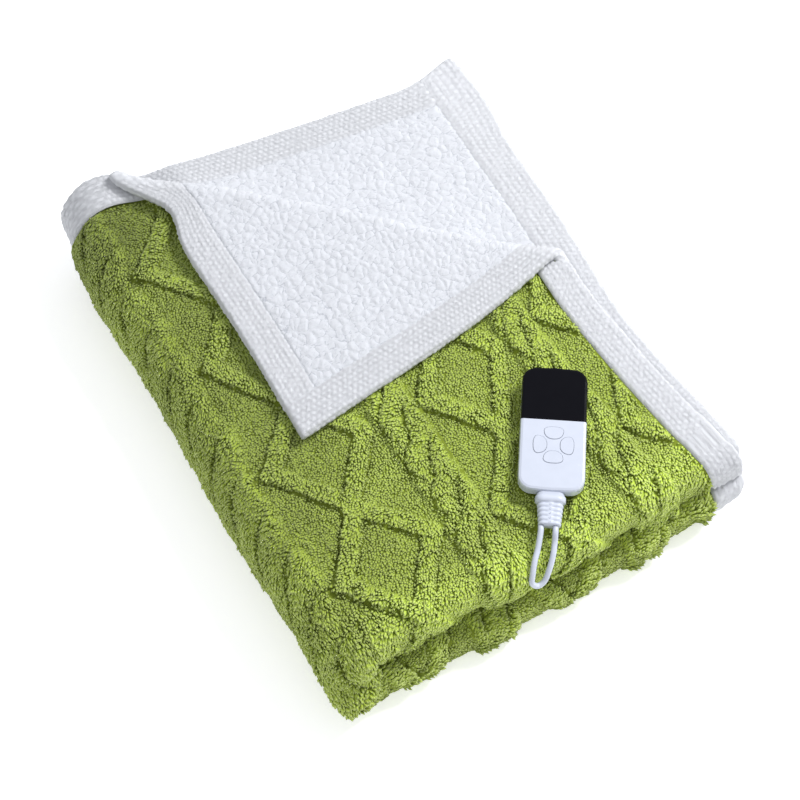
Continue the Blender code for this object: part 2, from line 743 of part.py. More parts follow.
def cord_loop(parts, material):
    """The flexible cord that leaves the sleeve and comes back to it."""
    line = smooth_route(cord_route(), 2)
    curve = bpy.data.curves.new("cord_loop", "CURVE")
    curve.dimensions = "3D"
    curve.bevel_depth = CORD_DIAMETER / 2
    curve.bevel_resolution = 2
    curve.use_fill_caps = True
    spline = curve.splines.new("POLY")
    spline.points.add(len(line) - 1)
    for point, place in zip(spline.points, line):
        point.co = (*place, 1)
    curve.materials.append(material)
    obj = bpy.data.objects.new("cord_loop", curve)
    parts.objects.link(obj)
    return obj


# Scene


def make_material(name, colour, roughness, sheen=0.0):
    material = bpy.data.materials.new(name)
    material.use_nodes = True
    shader = material.node_tree.nodes["Principled BSDF"]
    shader.inputs["Base Color"].default_value = (*colour, 1)
    shader.inputs["Roughness"].default_value = roughness
    shader.inputs["Sheen Weight"].default_value = sheen
    return material


def clear_scene():
    for obj in list(bpy.data.objects):
        bpy.data.objects.remove(obj)


def new_collection(name):
    collection = bpy.data.collections.new(name)
    bpy.context.scene.collection.children.link(collection)
    return collection


def build_cloth(parts):
    plush = make_material("green plush", (0.26, 0.42, 0.045), 0.9, 0.4)
    fleece = make_material("white fleece", (0.85, 0.86, 0.90), 0.95, 0.3)
    ribbon = make_material("white ribbon", (0.83, 0.84, 0.88), 0.85, 0.2)
    panel("face_panel", True, parts, plush)
    panel("back_panel", False, parts, fleece)
    start = BINDING_WIDTH + BINDING_GAP
    end = CLOTH_WIDTH - start
    binding("binding_right_upper", lambda d, s: (d, s), 0, CLOTH_LENGTH, parts, ribbon)
    binding("binding_right_lower", lambda d, s: (CLOTH_WIDTH - d, s), 0, CLOTH_LENGTH, parts, ribbon)
    binding("binding_end_top", lambda d, s: (s, d), start, end, parts, ribbon)
    binding("binding_end_page", lambda d, s: (s, CLOTH_LENGTH - d), start, end, parts, ribbon)


def build_controller(parts, cutters):
    make_material("cutter", (0.8, 0.2, 0.2), 0.5)
    white = make_material("white moulding", (0.80, 0.82, 0.86), 0.3)
    black = make_material("dark window", (0.01, 0.01, 0.015), 0.08)
    housing = housing_and_window(parts, cutters, white, black)
    add_buttons(housing, parts, cutters, white)
    strain_relief(parts, white)
    cord_loop(parts, make_material("white cord", (0.78, 0.80, 0.84), 0.4))


def main():
    clear_scene()
    parts = new_collection("heated blanket")
    cutters = new_collection("cutters")
    build_cloth(parts)
    build_controller(parts, cutters)


main()
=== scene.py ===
"""Looks of a folded electric blanket: green plush, curly white fleece, white ribbon and its controller.

Every point of the cloth is first placed flat, as (across, along, height): across from the right-hand
edge of the upper half, along from the free edge of the top layer, height with the plush side up. The
same folds as the part's own solids then carry it to where it lies. All sizes are in metres.
"""

import math

import bmesh
import bpy
import numpy as np
from mathutils import Matrix, Vector


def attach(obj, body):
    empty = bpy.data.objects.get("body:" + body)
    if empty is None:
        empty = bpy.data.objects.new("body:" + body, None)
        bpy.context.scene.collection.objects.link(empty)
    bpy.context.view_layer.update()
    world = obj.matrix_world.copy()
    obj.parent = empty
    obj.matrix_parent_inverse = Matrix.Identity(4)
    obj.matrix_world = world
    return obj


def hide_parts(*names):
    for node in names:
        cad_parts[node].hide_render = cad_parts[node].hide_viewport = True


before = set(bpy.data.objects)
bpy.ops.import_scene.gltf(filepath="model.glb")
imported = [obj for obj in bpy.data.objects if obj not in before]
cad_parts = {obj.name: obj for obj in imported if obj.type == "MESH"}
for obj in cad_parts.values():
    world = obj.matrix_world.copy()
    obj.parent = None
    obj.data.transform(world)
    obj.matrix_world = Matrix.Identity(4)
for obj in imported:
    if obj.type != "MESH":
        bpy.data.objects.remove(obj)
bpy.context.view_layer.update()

bl_info = {
    "name": "Folded heated blanket",
    "version": (1, 0, 0),
    "blender": (4, 5, 0),
    "location": "View3D > Sidebar > Blanket",
    "description": "Plush, fleece, ribbon and controller of a folded heated blanket",
    "category": "Add Mesh",
}

# Folded cloth
PLY = 0.0105
HALF_CLOTH = 0.0046
STACK_LEFT = -0.2065
STACK_RIGHT = 0.189
STACK_FRONT = -0.258
STACK_BACK = 0.247
BACK_FOLD_INSET = 0.012
BINDING_WIDTH = 0.033

# Turned-back corner. A pair that a soft step uses is where the step starts and ends, here and below.
# Each end of the corner's roll is its place, how far it slips and how far round it that is felt.
CORNER_TIP = np.array((-0.125, -0.065))
CORNER_ROLL = 0.0065
CORNER_REST = 0.0114
CORNER_EASE = 0.05
CORNER_SHEAR = 0.183
ROLL_ENDS = [(-0.1375, 0.247, 0.014, 0.065), (0.189, -0.0814, -0.010, 0.075)]
ROLL_FULL_AT = (0.3142, 0.346)
END_PULL = (-0.013, 0.004)
END_PULL_PLACE = (-0.127, 0.247)
END_PULL_SPREAD = 0.022
SHEAR_START = -0.20
SHEAR_END = 0.02
UNDER_CORNER_BEHIND = (0.002, 0.014)
UNDER_CORNER_BESIDE = (-0.002, 0.010)
PAGE_LIFT = 0.013
PAGE_LIFT_START = (0.005, 0.0135)
PAGE_LIFT_FADE = 0.030
PAGE_LIFT_ENDS = (-0.125, -0.085, 0.10, 0.15)

# How the stack lies: the sizes of its unevenness, then where each one is and how far it spreads.
# Each dip of the back edge is its place, spread and depth; the page's swell is its draw, place and spread.
LOWER_ROLL_FORWARD = 0.015
LOWER_BOW = 0.008
LOWER_BOW_WIDTH = 0.19
ROLL_SPLIT = (0.030, 0.052)
FRONT_FADE = 0.09
ROLL_POWER = 7
ROLL_FILLED = (0.05, 0.17)
BACK_SLOPE = -0.127
BACK_ZONE = 0.8
RIM_WAVE = 0.005
RIM_WAVE_PLACE = -0.112
RIM_WAVE_LENGTH = 0.040
RIM_MIDDLE = -0.05
RIM_SPREAD = 0.2
EAR = np.array((0.003, 0.017))
EAR_SPREAD = 0.027
BACK_LEFT_SWELL = 0.010
BACK_LEFT_PLACE = -0.17
BACK_LEFT_SPREAD = 0.045
BACK_LEFT_DRAW = 0.009
LEFT_WAVE = 0.002
LEFT_WAVE_LENGTH = 0.045
LEFT_WAVE_RISE = 9
BACK_DIPS = [(-0.156, 0.020, 0.006), (-0.072, 0.033, 0.012)]
BACK_DIP_START = 0.20
BACK_DIP_SIDE = 0.035
RIGHT_WAIST = 0.007
RIGHT_WAIST_PLACE = -0.04
RIGHT_WAIST_SPREAD = 0.08
PAGE_SIDE_START = 0.145
PAGE_SIDE_DRAW = 0.006
PAGE_SIDE_FADE = (-0.10, 0.0)
PAGE_SIDE_SWELL = (0.0085, 0.205, 0.045)
TOP_EDGE_DRAW = 0.014
TOP_EDGE_FADE = 0.02
FRONT_SPREAD = 0.010
FRONT_SPREAD_START = -0.12
FRONT_TOE = np.array((-0.204, -0.262))
FRONT_TOE_DRAW = np.array((-0.006, -0.014))
FRONT_TOE_SPREAD = 0.035
FOOTPRINT_CENTRE = np.array((-0.0055, 0.0025, 0.0))

# Worked out from the sizes above
PACK = 4 * PLY
TOP_RADIUS = 3.5 * PLY
SIDE_RADIUS = 2 * PLY
FRONT_RADIUS = 1.5 * PLY
BACK_RADIUS = 0.5 * PLY
FOLD_X = STACK_LEFT + PACK
MIDDLE_Z = TOP_RADIUS + HALF_CLOTH
FLAT_ACROSS = STACK_RIGHT - FOLD_X
SIDE_BEND = math.pi * SIDE_RADIUS
CLOTH_WIDTH = 2 * FLAT_ACROSS + SIDE_BEND
FRONT_Y = STACK_FRONT + 2 * PLY
BACK_FOLD_Y = STACK_BACK - BACK_FOLD_INSET - PLY
LONG_LAYER = STACK_BACK - FRONT_Y
SHORT_LAYER = BACK_FOLD_Y - FRONT_Y
OUTER_BEND = math.pi * FRONT_RADIUS
INNER_BEND = math.pi * BACK_RADIUS
TOP_END = LONG_LAYER
FRONT_END = TOP_END + OUTER_BEND
FOURTH_END = FRONT_END + SHORT_LAYER
BACK_END = FOURTH_END + INNER_BEND
THIRD_END = BACK_END + SHORT_LAYER
INSIDE_END = THIRD_END + INNER_BEND
CLOTH_LENGTH = INSIDE_END + LONG_LAYER
SIDE_END = FLAT_ACROSS + SIDE_BEND
FOLDS = (TOP_END, FRONT_END, FOURTH_END, BACK_END, THIRD_END, INSIDE_END)
CORNER = np.array((STACK_RIGHT, STACK_BACK))
CORNER_WAY = (CORNER - CORNER_TIP) / np.linalg.norm(CORNER - CORNER_TIP)
CORNER_FOLD = (np.linalg.norm(CORNER - CORNER_TIP) + math.pi * CORNER_ROLL) / 2

# Raised pattern of the plush: columns of cables between columns of diamond bands
CABLE_PITCH = 0.147
CABLE_CENTRE = -0.042
CABLE_HALF = 0.0205
STRAND_TURN = 0.0404
STRAND_PHASE = -0.0266
DIAMOND_TURN = 0.112
DIAMOND_WIDEST = -0.078
DIAMOND_REACH = 0.042
BAND_HALF = 0.011
BAND_RISE = 0.0032
GROOVE_DEPTH = 0.0024
GROOVE_WIDTH = 0.0013
PATTERN_SWAY = 0.0021
FINE_SWAY = 0.0007
FAR_GROOVE = 0.47
ROPE_RISE = 0.6
STRAND_FADE = 0.008
BAND_START = 0.003

# The groove beside a strand: how far down it has run, and its distance from the cable's middle
STRAND_LINE = [
    (0.0000, 0.0150),
    (0.0094, 0.0075),
    (0.0187, 0.0030),
    (0.0300, -0.0005),
    (0.0374, -0.0050),
    (0.0449, -0.0120),
    (0.0524, -0.0165),
    (0.0636, -0.0180),
    (0.0748, -0.0130),
]

# Cloths under their pile and nap: cut inside the edge, a little apart, and thinner under the binding
INSET = 0.0018
CLOTH_GAP = 0.0002
PRESSED = 0.0018
FLEECE_RISE = 0.0014
CLOTH_STRIDE = 3

# Ribbon, and where it bulges as the corner rolls over
RIBBON_WALL = 0.0011
RIBBON_DIP = 0.0014
RIBBON_FULL = 0.0028
RIBBON_FULL_SPREAD = 0.022
RIBBON_END = 0.0045
RIBBON_CLEAR = 0.0003
GRAIN_FADE = 0.003

# Pile
PILE_LENGTH = 0.0038
PILE_WIDTH = 0.0022
PILE_SPACING = 0.00160
PILE_DENSITY = 900000.0
PILE_ROOM = 0.62
PILE_SEED = 11
CLUMP_SIZE = 0.0065
PARTING = 0.5
LOCK_PLACES = [(-0.158, -0.235), (0.165, -0.245)]
LOCK_SPREAD = 0.030
LOCK_TOP = 0.07
LOW_RIM = (0.004, 0.030)
CASE_CLEAR = (-0.0035, 0.0005)
CASE_TRIM = 0.006
PATTERN_STEP = 0.0008
FRONT_PILE = 0.014
# Front rim, where the pile grows longer and gets a painted sheen highlight: its distance past the top and its
# spread
FRONT_RIM = (0.004, 0.018)
# Painted shadow on the pile at the back left, beside the turned corner: its place and spread
PAINTED_SHADOW_CORNER = (-0.166, 0.225)
PAINTED_SHADOW_CORNER_SPREAD = 0.05

# Fleece nap
NAP_REACH = 0.335
NAP_STEP = 0.00124
NAP_STRIDE = 8
NAP_OVERLAP = 0.005
NAP_FADE = 0.006
NAP_OUTSIDE = 0.0002
NAP_INSIDE = 0.0006
NUB_CURL = 0.75
# Painted shade in the cracks between the nubs, as shares of the fleece colour
CRACK_SHADE = (0.66, 0.67, 0.70)

# Hand controller
CASE_SIZE = Vector((0.056, 0.1135, 0.015))
CASE_PLACE = Vector((0.0603, -0.1606))
CASE_TURN = math.radians(-34.4)
CASE_END_BOW = 0.002
CASE_ROUND = 0.01
PART_GAP = 0.0003
RELIEF_HEIGHT = 0.0022

# Strain relief: distance from the case, half width and half height of its collar and its sleeve's ends
RELIEF_MIDDLE = 0.0075
COLLAR = [
    (0.0000, 0.0116, 0.0058),
    (0.0028, 0.0119, 0.0060),
    (0.0032, 0.0129, 0.0066),
    (0.0076, 0.0129, 0.0066),
    (0.0086, 0.0116, 0.0056),
]
SLEEVE_START = (0.0090, 0.0112, 0.0053)
SLEEVE_FINISH = (0.0292, 0.0094, 0.0045)
SLEEVE_SIDES = 64
SLEEVE_RIBS = 5
RIB_DEPTH = 0.0008
STRIP_HALF = 0.0018
STRIP_FLANK = 0.0006
EYELET_SIDES = 12
EYELET_RINGS = [(0.0011, -0.0004), (0.0010, 0.0003), (0.0006, 0.0003), (0.0005, -0.0002)]

# Cord
CORD_DIAMETER = 0.005
CORD_LEGS = (-0.0070, 0.0052)
CORD_STRAIGHT = 0.005
CORD_CLEAR = 0.0006
CORD_STEPS = 8

# Where the cord's loop rests: x, and how far past the start of the front bend, over the cloth
CORD_REST = [
    (-0.0070, 0.0040),
    (-0.0148, 0.0120),
    (-0.0208, 0.0210),
    (-0.0236, 0.0285),
    (-0.0194, 0.0345),
    (-0.0128, 0.0325),
    (-0.0060, 0.0235),
    (0.0018, 0.0140),
    (0.0080, 0.0060),
]
TOP_Z = MIDDLE_Z + TOP_RADIUS + HALF_CLOTH + RELIEF_HEIGHT
CASE_FLOOR = TOP_Z + PART_GAP

# Camera
CAMERA_LOOK = Vector((0.0055, -0.0025, 0.045))
CAMERA_LENS = 90.7
CAMERA_SENSOR = 36
CAMERA_SHIFT = (0.0056, -0.0636)

# Floor and light. Lights: name, place, size and power
FLOOR_HALF = 6
FLOOR_GLOW = 0.42
ROOM_COLOUR = (0.95, 0.97, 1.0, 1)
ROOM_STRENGTH = 0.60
LIGHTS = [
    ("key", (1.9, 0.15, 2.15), 0.8, 90.0),
    ("fill", (-1.4, -1.8, 2.4), 2.4, 16.0),
]


# Folding


def smooth(low, high, value):
    """0 below low, 1 above high, and a soft step between them."""
    part = np.clip((value - low) / (high - low), 0, 1)
    return part * part * (3 - 2 * part)


def bump(value, middle, spread):
    """1 at the middle, dying out smoothly to both sides."""
    return np.exp(-(((value - middle) / spread) ** 2))


def bump_at(x, y, place, spread):
    """1 at a place, dying out smoothly all round it."""
    return bump(np.hypot(x - place[0], y - place[1]), 0, spread)


def layer_profile(along, height, square):
    """Depth and distance from the side fold's axis of points of the four stacked layers.

    square is how far the inner half of the front roll is filled out, from 0 to 1.
    """
    front = (along - TOP_END) / FRONT_RADIUS
    back = (along - FOURTH_END) / BACK_RADIUS
    inside = (along - THIRD_END) / BACK_RADIUS
    front_radius = FRONT_RADIUS + height
    back_radius = BACK_RADIUS + height
    inside_radius = BACK_RADIUS - height
    full = (np.abs(np.sin(front)) ** ROLL_POWER + np.abs(np.cos(front)) ** ROLL_POWER) ** (-1 / ROLL_POWER)
    front_radius = front_radius * (1 + square * (full - 1) * (np.cos(front) < 0))
    stretches = [
        (TOP_END, STACK_BACK - along, TOP_RADIUS + height),
        (FRONT_END, FRONT_Y - front_radius * np.sin(front), 2 * PLY + front_radius * np.cos(front)),
        (FOURTH_END, FRONT_Y + along - FRONT_END, BACK_RADIUS - height),
        (BACK_END, BACK_FOLD_Y + back_radius * np.sin(back), PLY - back_radius * np.cos(back)),
        (THIRD_END, BACK_FOLD_Y - along + BACK_END, FRONT_RADIUS + height),
        (INSIDE_END, FRONT_Y - inside_radius * np.sin(inside), 2 * PLY - inside_radius * np.cos(inside)),
    ]
    conditions = [along < end for end, _, _ in stretches]
    depth = np.select(conditions, [y for _, y, _ in stretches], FRONT_Y + along - INSIDE_END)
    radius = np.select(conditions, [r for _, _, r in stretches], 2.5 * PLY - height)
    return depth, radius


def past_fold(x, y):
    """How far places of a flat layer lie past the line over which the corner is rolled."""
    beyond = CORNER_FOLD - ((CORNER[0] - x) * CORNER_WAY[0] + (CORNER[1] - y) * CORNER_WAY[1])
    for end_x, end_y, slip, spread in ROLL_ENDS:
        beyond = beyond + slip * bump_at(x, y, (end_x, end_y), spread)
    return beyond


def turn_corner(x, y, height):
    """The top layer's back corner, rolled over a diagonal and laid on the layer itself."""
    near_back = smooth(BACK_DIP_START, STACK_BACK, y) * smooth(FOLD_X, FOLD_X + BACK_DIP_SIDE, x)
    y = y - near_back * sum(depth * bump(x, place, spread) for place, spread, depth in BACK_DIPS)
    beyond = past_fold(x, y)
    pull = bump_at(x, y, END_PULL_PLACE, END_PULL_SPREAD) * smooth(0, math.pi * CORNER_ROLL, beyond)
    shear = CORNER_SHEAR * smooth(SHEAR_START, SHEAR_END, beyond)
    turn = np.clip(beyond / CORNER_ROLL, 0, math.pi)
    past = np.maximum(0, beyond - math.pi * CORNER_ROLL)
    ease = CORNER_REST + (2 * CORNER_ROLL - CORNER_REST) * np.exp(-past / CORNER_EASE)
    middle = np.where(turn < math.pi, CORNER_ROLL, ease / 2)
    lift = (CORNER_ROLL - height) * np.sin(turn)
    turned = beyond > 0
    shift = np.where(turned, lift - past - beyond, 0)
    rise = np.where(turned, middle - (middle - height) * np.cos(turn), height)
    x = x + CORNER_WAY[0] * shift
    y = y + CORNER_WAY[1] * shift
    return x + END_PULL[0] * pull, y + shear * np.maximum(0, x - CORNER_TIP[0]) + END_PULL[1] * pull, rise


def settle(flat_x, flat_y, z, along):
    """The slack of the whole stack: uneven rims, a skewed back edge and shifted layers."""
    x, y = flat_x, flat_y
    reach = (y - STACK_FRONT) / (STACK_BACK - STACK_FRONT)
    back = smooth(BACK_ZONE, 1.0, reach)
    front = np.exp((STACK_FRONT - y) / FRONT_FADE)
    low = 1 - smooth(*ROLL_SPLIT, z)
    rim = RIM_WAVE * np.cos((x - RIM_WAVE_PLACE) / RIM_WAVE_LENGTH)
    rim = rim * np.exp(-np.abs(x - RIM_MIDDLE) / RIM_SPREAD)
    bow = LOWER_ROLL_FORWARD - LOWER_BOW * (x / LOWER_BOW_WIDTH) ** 2
    swell = BACK_LEFT_SWELL * bump(x, BACK_LEFT_PLACE, BACK_LEFT_SPREAD) * back
    spread = FRONT_SPREAD * smooth(FRONT_SPREAD_START, STACK_FRONT, y)
    waist = RIGHT_WAIST * bump(y, RIGHT_WAIST_PLACE, RIGHT_WAIST_SPREAD)
    drawn = TOP_EDGE_DRAW * (1 - smooth(TOP_END - TOP_EDGE_FADE, FRONT_END, along))
    left = BACK_LEFT_DRAW * back + LEFT_WAVE * np.sin(y / LEFT_WAVE_LENGTH + LEFT_WAVE_RISE * z)
    x = x + smooth(0.0, STACK_RIGHT, x) * (spread - waist - drawn)
    x = x + (1 - smooth(STACK_LEFT, 0.0, x)) * left
    y = y + front * ((1 - low) * rim - low * bow) + reach * BACK_SLOPE * flat_x + swell
    draw, middle, spread = PAGE_SIDE_SWELL
    side = PAGE_SIDE_DRAW * smooth(*PAGE_SIDE_FADE, flat_y) + draw * bump(flat_y, middle, spread)
    x = x + np.where(along > INSIDE_END, side * smooth(PAGE_SIDE_START, STACK_RIGHT, flat_x), 0)
    toe = bump_at(flat_x, flat_y, FRONT_TOE, FRONT_TOE_SPREAD) * low
    x, y = x + FRONT_TOE_DRAW[0] * toe, y + FRONT_TOE_DRAW[1] * toe
    pull = np.where(along > INSIDE_END, bump_at(flat_x, flat_y, CORNER, EAR_SPREAD), 0)
    return np.stack((x + EAR[0] * pull, y + EAR[1] * pull, z), axis=1)


def folded(flat):
    """Where points of the flat cloth, rows of (across, along, height), lie in the folded stack."""
    across, along, height = np.asarray(flat, float).T
    from_right = np.minimum(across, CLOTH_WIDTH - across)
    y, radius = layer_profile(along, height, 1 - smooth(*ROLL_FILLED, from_right))
    upper = across < FLAT_ACROSS
    lower = across >= SIDE_END
    turn = np.clip((across - FLAT_ACROSS) / SIDE_RADIUS, 0, math.pi)
    past = np.maximum(0, across - SIDE_END)
    upper_x = STACK_RIGHT - across
    corner_x, corner_y, rise = turn_corner(upper_x, y, height)
    top = upper & (along < TOP_END)
    x = np.where(upper, upper_x, FOLD_X - radius * np.sin(turn) * ~lower + past)
    beyond = past_fold(x, y)
    lift = PAGE_LIFT * smooth(*PAGE_LIFT_START, beyond)
    lift = lift * np.exp(-np.maximum(0, beyond - PAGE_LIFT_START[1]) / PAGE_LIFT_FADE)
    lift = lift * smooth(*PAGE_LIFT_ENDS[:2], upper_x) * (1 - smooth(*PAGE_LIFT_ENDS[2:], upper_x))
    radius = radius + np.where(upper & (along > INSIDE_END), lift, 0)
    x = np.where(top, corner_x, x)
    y = np.where(top, corner_y, y)
    radius = np.where(top, TOP_RADIUS + rise, radius)
    z = MIDDLE_Z + radius * np.where(upper, 1, np.cos(turn))
    return settle(x, y, z, along) - FOOTPRINT_CENTRE


def ways(flat):
    """Unit directions across the cloth, along it and out of it at points of the folded stack."""
    step = 0.0004
    place = folded(flat)
    across = folded(flat + np.array((step, 0, 0))) - place
    along = folded(flat + np.array((0, step, 0))) - place
    directions = [across, along, np.cross(across, along)]
    return [way / np.maximum(np.linalg.norm(way, axis=1, keepdims=True), 1e-9) for way in directions]


# Raised pattern


def wave(value):
    """A triangle wave: 1 at 0, -1 at half a turn."""
    return 4 * np.abs(value % 1.0 - 0.5) - 1


def wobble(value, length, phase):
    """A slow, uneven sway between about -1 and 1."""
    return (np.sin(value / length + phase) + np.sin(1.7 * value / length + 2.3 * phase)) / 2


def pattern(across, along):
    """Height of the raised pattern, how raised a place is (0 to 1) and how much of a groove it is."""
    x = STACK_RIGHT - across
    y = STACK_BACK - along
    x, y = x + PATTERN_SWAY * wobble(y, 0.019, 0.6), y + PATTERN_SWAY * wobble(x, 0.023, 1.9)
    x, y = x + FINE_SWAY * wobble(y, 0.0031, 0.2), y + FINE_SWAY * wobble(x, 0.0037, 1.3)
    in_cable = (x - CABLE_CENTRE + CABLE_PITCH / 2) % CABLE_PITCH - CABLE_PITCH / 2
    in_diamond = (x - CABLE_CENTRE) % CABLE_PITCH - CABLE_PITCH / 2
    reach = DIAMOND_REACH * np.clip((1.08 * wave((y - DIAMOND_WIDEST) / DIAMOND_TURN) + 1) / 2, 0, 1)
    raised = np.zeros_like(x)
    groove = np.zeros_like(x)
    for line, other in ((-reach, reach), (reach, -reach)):
        from_edge = in_diamond - line + BAND_HALF
        part = from_edge / (2 * BAND_HALF)
        raised = np.maximum(raised, smooth(0, 0.12, part) * (1 - smooth(0.72, 1.05, part)))
        covered = 1 - smooth(0.6, 1.1, np.abs(in_diamond - other) / BAND_HALF)
        groove = np.maximum(groove, bump(from_edge, 0, GROOVE_WIDTH) * (1 - covered * (line is reach)))
        steep = ((y - DIAMOND_WIDEST) / DIAMOND_TURN % 1.0 > 0.5) == (line is reach)
        far_edge = bump(from_edge, 2 * BAND_HALF, GROOVE_WIDTH) * (1 - covered) * steep
        groove = np.maximum(groove, FAR_GROOVE * far_edge)
    run = (STRAND_PHASE - y) % STRAND_TURN
    runs, offsets = np.array(STRAND_LINE).T
    near = np.interp(run, runs, offsets)
    far = np.interp(run + STRAND_TURN, runs, offsets)
    part = np.select(
        [in_cable > near, in_cable > far],
        [(in_cable - near) / CABLE_HALF, (in_cable - far) / np.maximum(near - far, 0.004)],
        1 - (far - in_cable) / CABLE_HALF,
    )
    strand = smooth(0, 0.18, part) * (1 - 0.55 * smooth(0.45, 1.0, part))
    rope = (0.3 + 0.7 * strand) * (1 - smooth(0.8, 1.05, np.abs(in_cable) / CABLE_HALF))
    raised = np.maximum(raised, rope)
    for place, start in ((near, run), (far, run + STRAND_TURN)):
        strength = smooth(0, STRAND_FADE, start) * (1 - smooth(runs[-1] - STRAND_FADE, runs[-1], start))
        groove = np.maximum(groove, bump(in_cable, place, GROOVE_WIDTH) * strength)
    height = BAND_RISE * (raised + ROPE_RISE * rope) - GROOVE_DEPTH * groove
    return height, raised, groove


def from_edges(across, along):
    """Distance from the nearest edge of the flat cloth."""
    return np.minimum(np.minimum(across, CLOTH_WIDTH - across), np.minimum(along, CLOTH_LENGTH - along))


def under_corner(across, along):
    """1 where the turned corner lies on the top layer, or where the layer itself is turned back."""
    x = STACK_RIGHT - across
    y = STACK_BACK - along
    behind = y - CORNER_TIP[1] - CORNER_SHEAR * (x - CORNER_TIP[0])
    beside = x - CORNER_TIP[0]
    covered = smooth(*UNDER_CORNER_BEHIND, behind) * smooth(*UNDER_CORNER_BESIDE, beside)
    return covered * (along < TOP_END)


def showing(across, along):
    """1 where the plush side can be seen once the cloth is folded, fading to 0 where it lies on something.

    Its bends are measured in radians.
    """
    side = (across - FLAT_ACROSS) / SIDE_RADIUS
    front = (along - TOP_END) / FRONT_RADIUS
    back = (along - FOURTH_END) / BACK_RADIUS
    below = smooth(2.3, 2.9, side) * (1 - smooth(-0.4, 0.5, front))
    shown = (1 - smooth(3.2, 4.1, front)) * (1 - below) * (1 - under_corner(across, along))
    shown = shown + smooth(-0.3, 0.5, back) * (1 - smooth(math.pi - 0.5, math.pi + 0.3, back))
    return shown * smooth(BINDING_WIDTH, BINDING_WIDTH + 0.004, from_edges(across, along))


def plush_height(across, along):
    """Outer height of the plush cloth itself, from which its pile stands up."""
    shown = showing(across, along)
    height = pattern(across, along)[0]
    ground = HALF_CLOTH - PILE_LENGTH * PILE_ROOM * shown
    pressed = HALF_CLOTH - PRESSED
    edge = smooth(BINDING_WIDTH, BINDING_WIDTH + BAND_START, from_edges(across, along))
    return pressed + (ground + height * shown - pressed) * edge


# Meshes


def lines(stops, *steps):
    """Places in one direction, from stop to stop, with a step for each stretch between two stops."""
    places = []
    for start, end, step in zip(stops, stops[1:], steps):
        count = max(1, round((end - start) / step))
        places.extend(np.linspace(start, end, count, endpoint=False))
    return np.array([*places, stops[-1]])


def grid(across, along):
    """The two coordinates of every crossing of two sets of lines, row by row."""
    return [places.ravel() for places in np.meshgrid(across, along)]


def grid_quads(index):
    """Four-sided faces between the points of a grid."""
    return np.stack((index[:-1, :-1], index[:-1, 1:], index[1:, 1:], index[1:, :-1]), axis=-1)


def every(places, stride):
    """Every few of the places, with the last one kept."""
    kept = list(range(0, len(places), stride))
    if kept[-1] != len(places) - 1:
        kept.append(len(places) - 1)
    return kept


def slab_faces(columns, rows, stride, kept=None):
    """Faces of a closed slab: a fine outer grid, a coarser inner grid and the rims between them.

    kept says which of the coarse cells are there, by row and column; without it, all are.
    """
    index = np.arange(columns * rows).reshape(rows, columns)
    quads = grid_quads(index)
    coarse_columns = every(range(columns), stride)
    coarse_rows = every(range(rows), stride)
    wide, deep = len(coarse_columns), len(coarse_rows)
    inner = columns * rows + np.arange(wide * deep).reshape(deep, wide)
    under = grid_quads(inner)[..., [0, 3, 2, 1]]
    cells = np.ones((deep - 1, wide - 1), bool) if kept is None else kept
    cell_row = np.searchsorted(coarse_rows, np.arange(rows - 1), side="right") - 1
    cell_column = np.searchsorted(coarse_columns, np.arange(columns - 1), side="right") - 1
    faces = [*quads[cells[cell_row][:, cell_column]].tolist(), *under[cells].tolist()]
    around = np.pad(cells, 1)
    for j, i in np.argwhere(cells):
        left, right = coarse_columns[i], coarse_columns[i + 1]
        near, far = coarse_rows[j], coarse_rows[j + 1]
        if not around[j, i + 1]:
            faces.append([*index[near, left : right + 1][::-1], inner[j, i], inner[j, i + 1]])
        if not around[j + 2, i + 1]:
            faces.append([*index[far, left : right + 1], inner[j + 1, i + 1], inner[j + 1, i]])
        if not around[j + 1, i]:
            faces.append([*index[near : far + 1, left], inner[j + 1, i], inner[j, i]])
        if not around[j + 1, i + 2]:
            faces.append([*index[near : far + 1, right][::-1], inner[j, i + 1], inner[j + 1, i + 1]])
    return faces, coarse_columns, coarse_rows


def in_scene(name, data):
    """A new object in the scene."""
    obj = bpy.data.objects.new(name, data)
    bpy.context.scene.collection.objects.link(obj)
    return obj


def new_object(name, points, faces, material):
    """A smooth mesh object at the origin, with one material."""
    mesh = bpy.data.meshes.new(name)
    mesh.from_pydata(points, [], faces)
    mesh.shade_smooth()
    if material:
        mesh.materials.append(material)
    return in_scene(name, mesh)


def store(mesh, name, kind, values):
    """Values kept on the points of a mesh: kind is FLOAT or FLOAT_VECTOR."""
    attribute = mesh.attributes.get(name) or mesh.attributes.new(name, kind, "POINT")
    attribute.data.foreach_set("value" if kind == "FLOAT" else "vector", np.ravel(values).astype(np.float32))


def stored(mesh, name, kind):
    """Values that store has kept on the points of a mesh."""
    size, part = (1, "value") if kind == "FLOAT" else (3, "vector")
    values = np.empty(size * len(mesh.vertices), np.float32)
    mesh.attributes[name].data.foreach_get(part, values)
    return values if size == 1 else values.reshape(-1, 3)


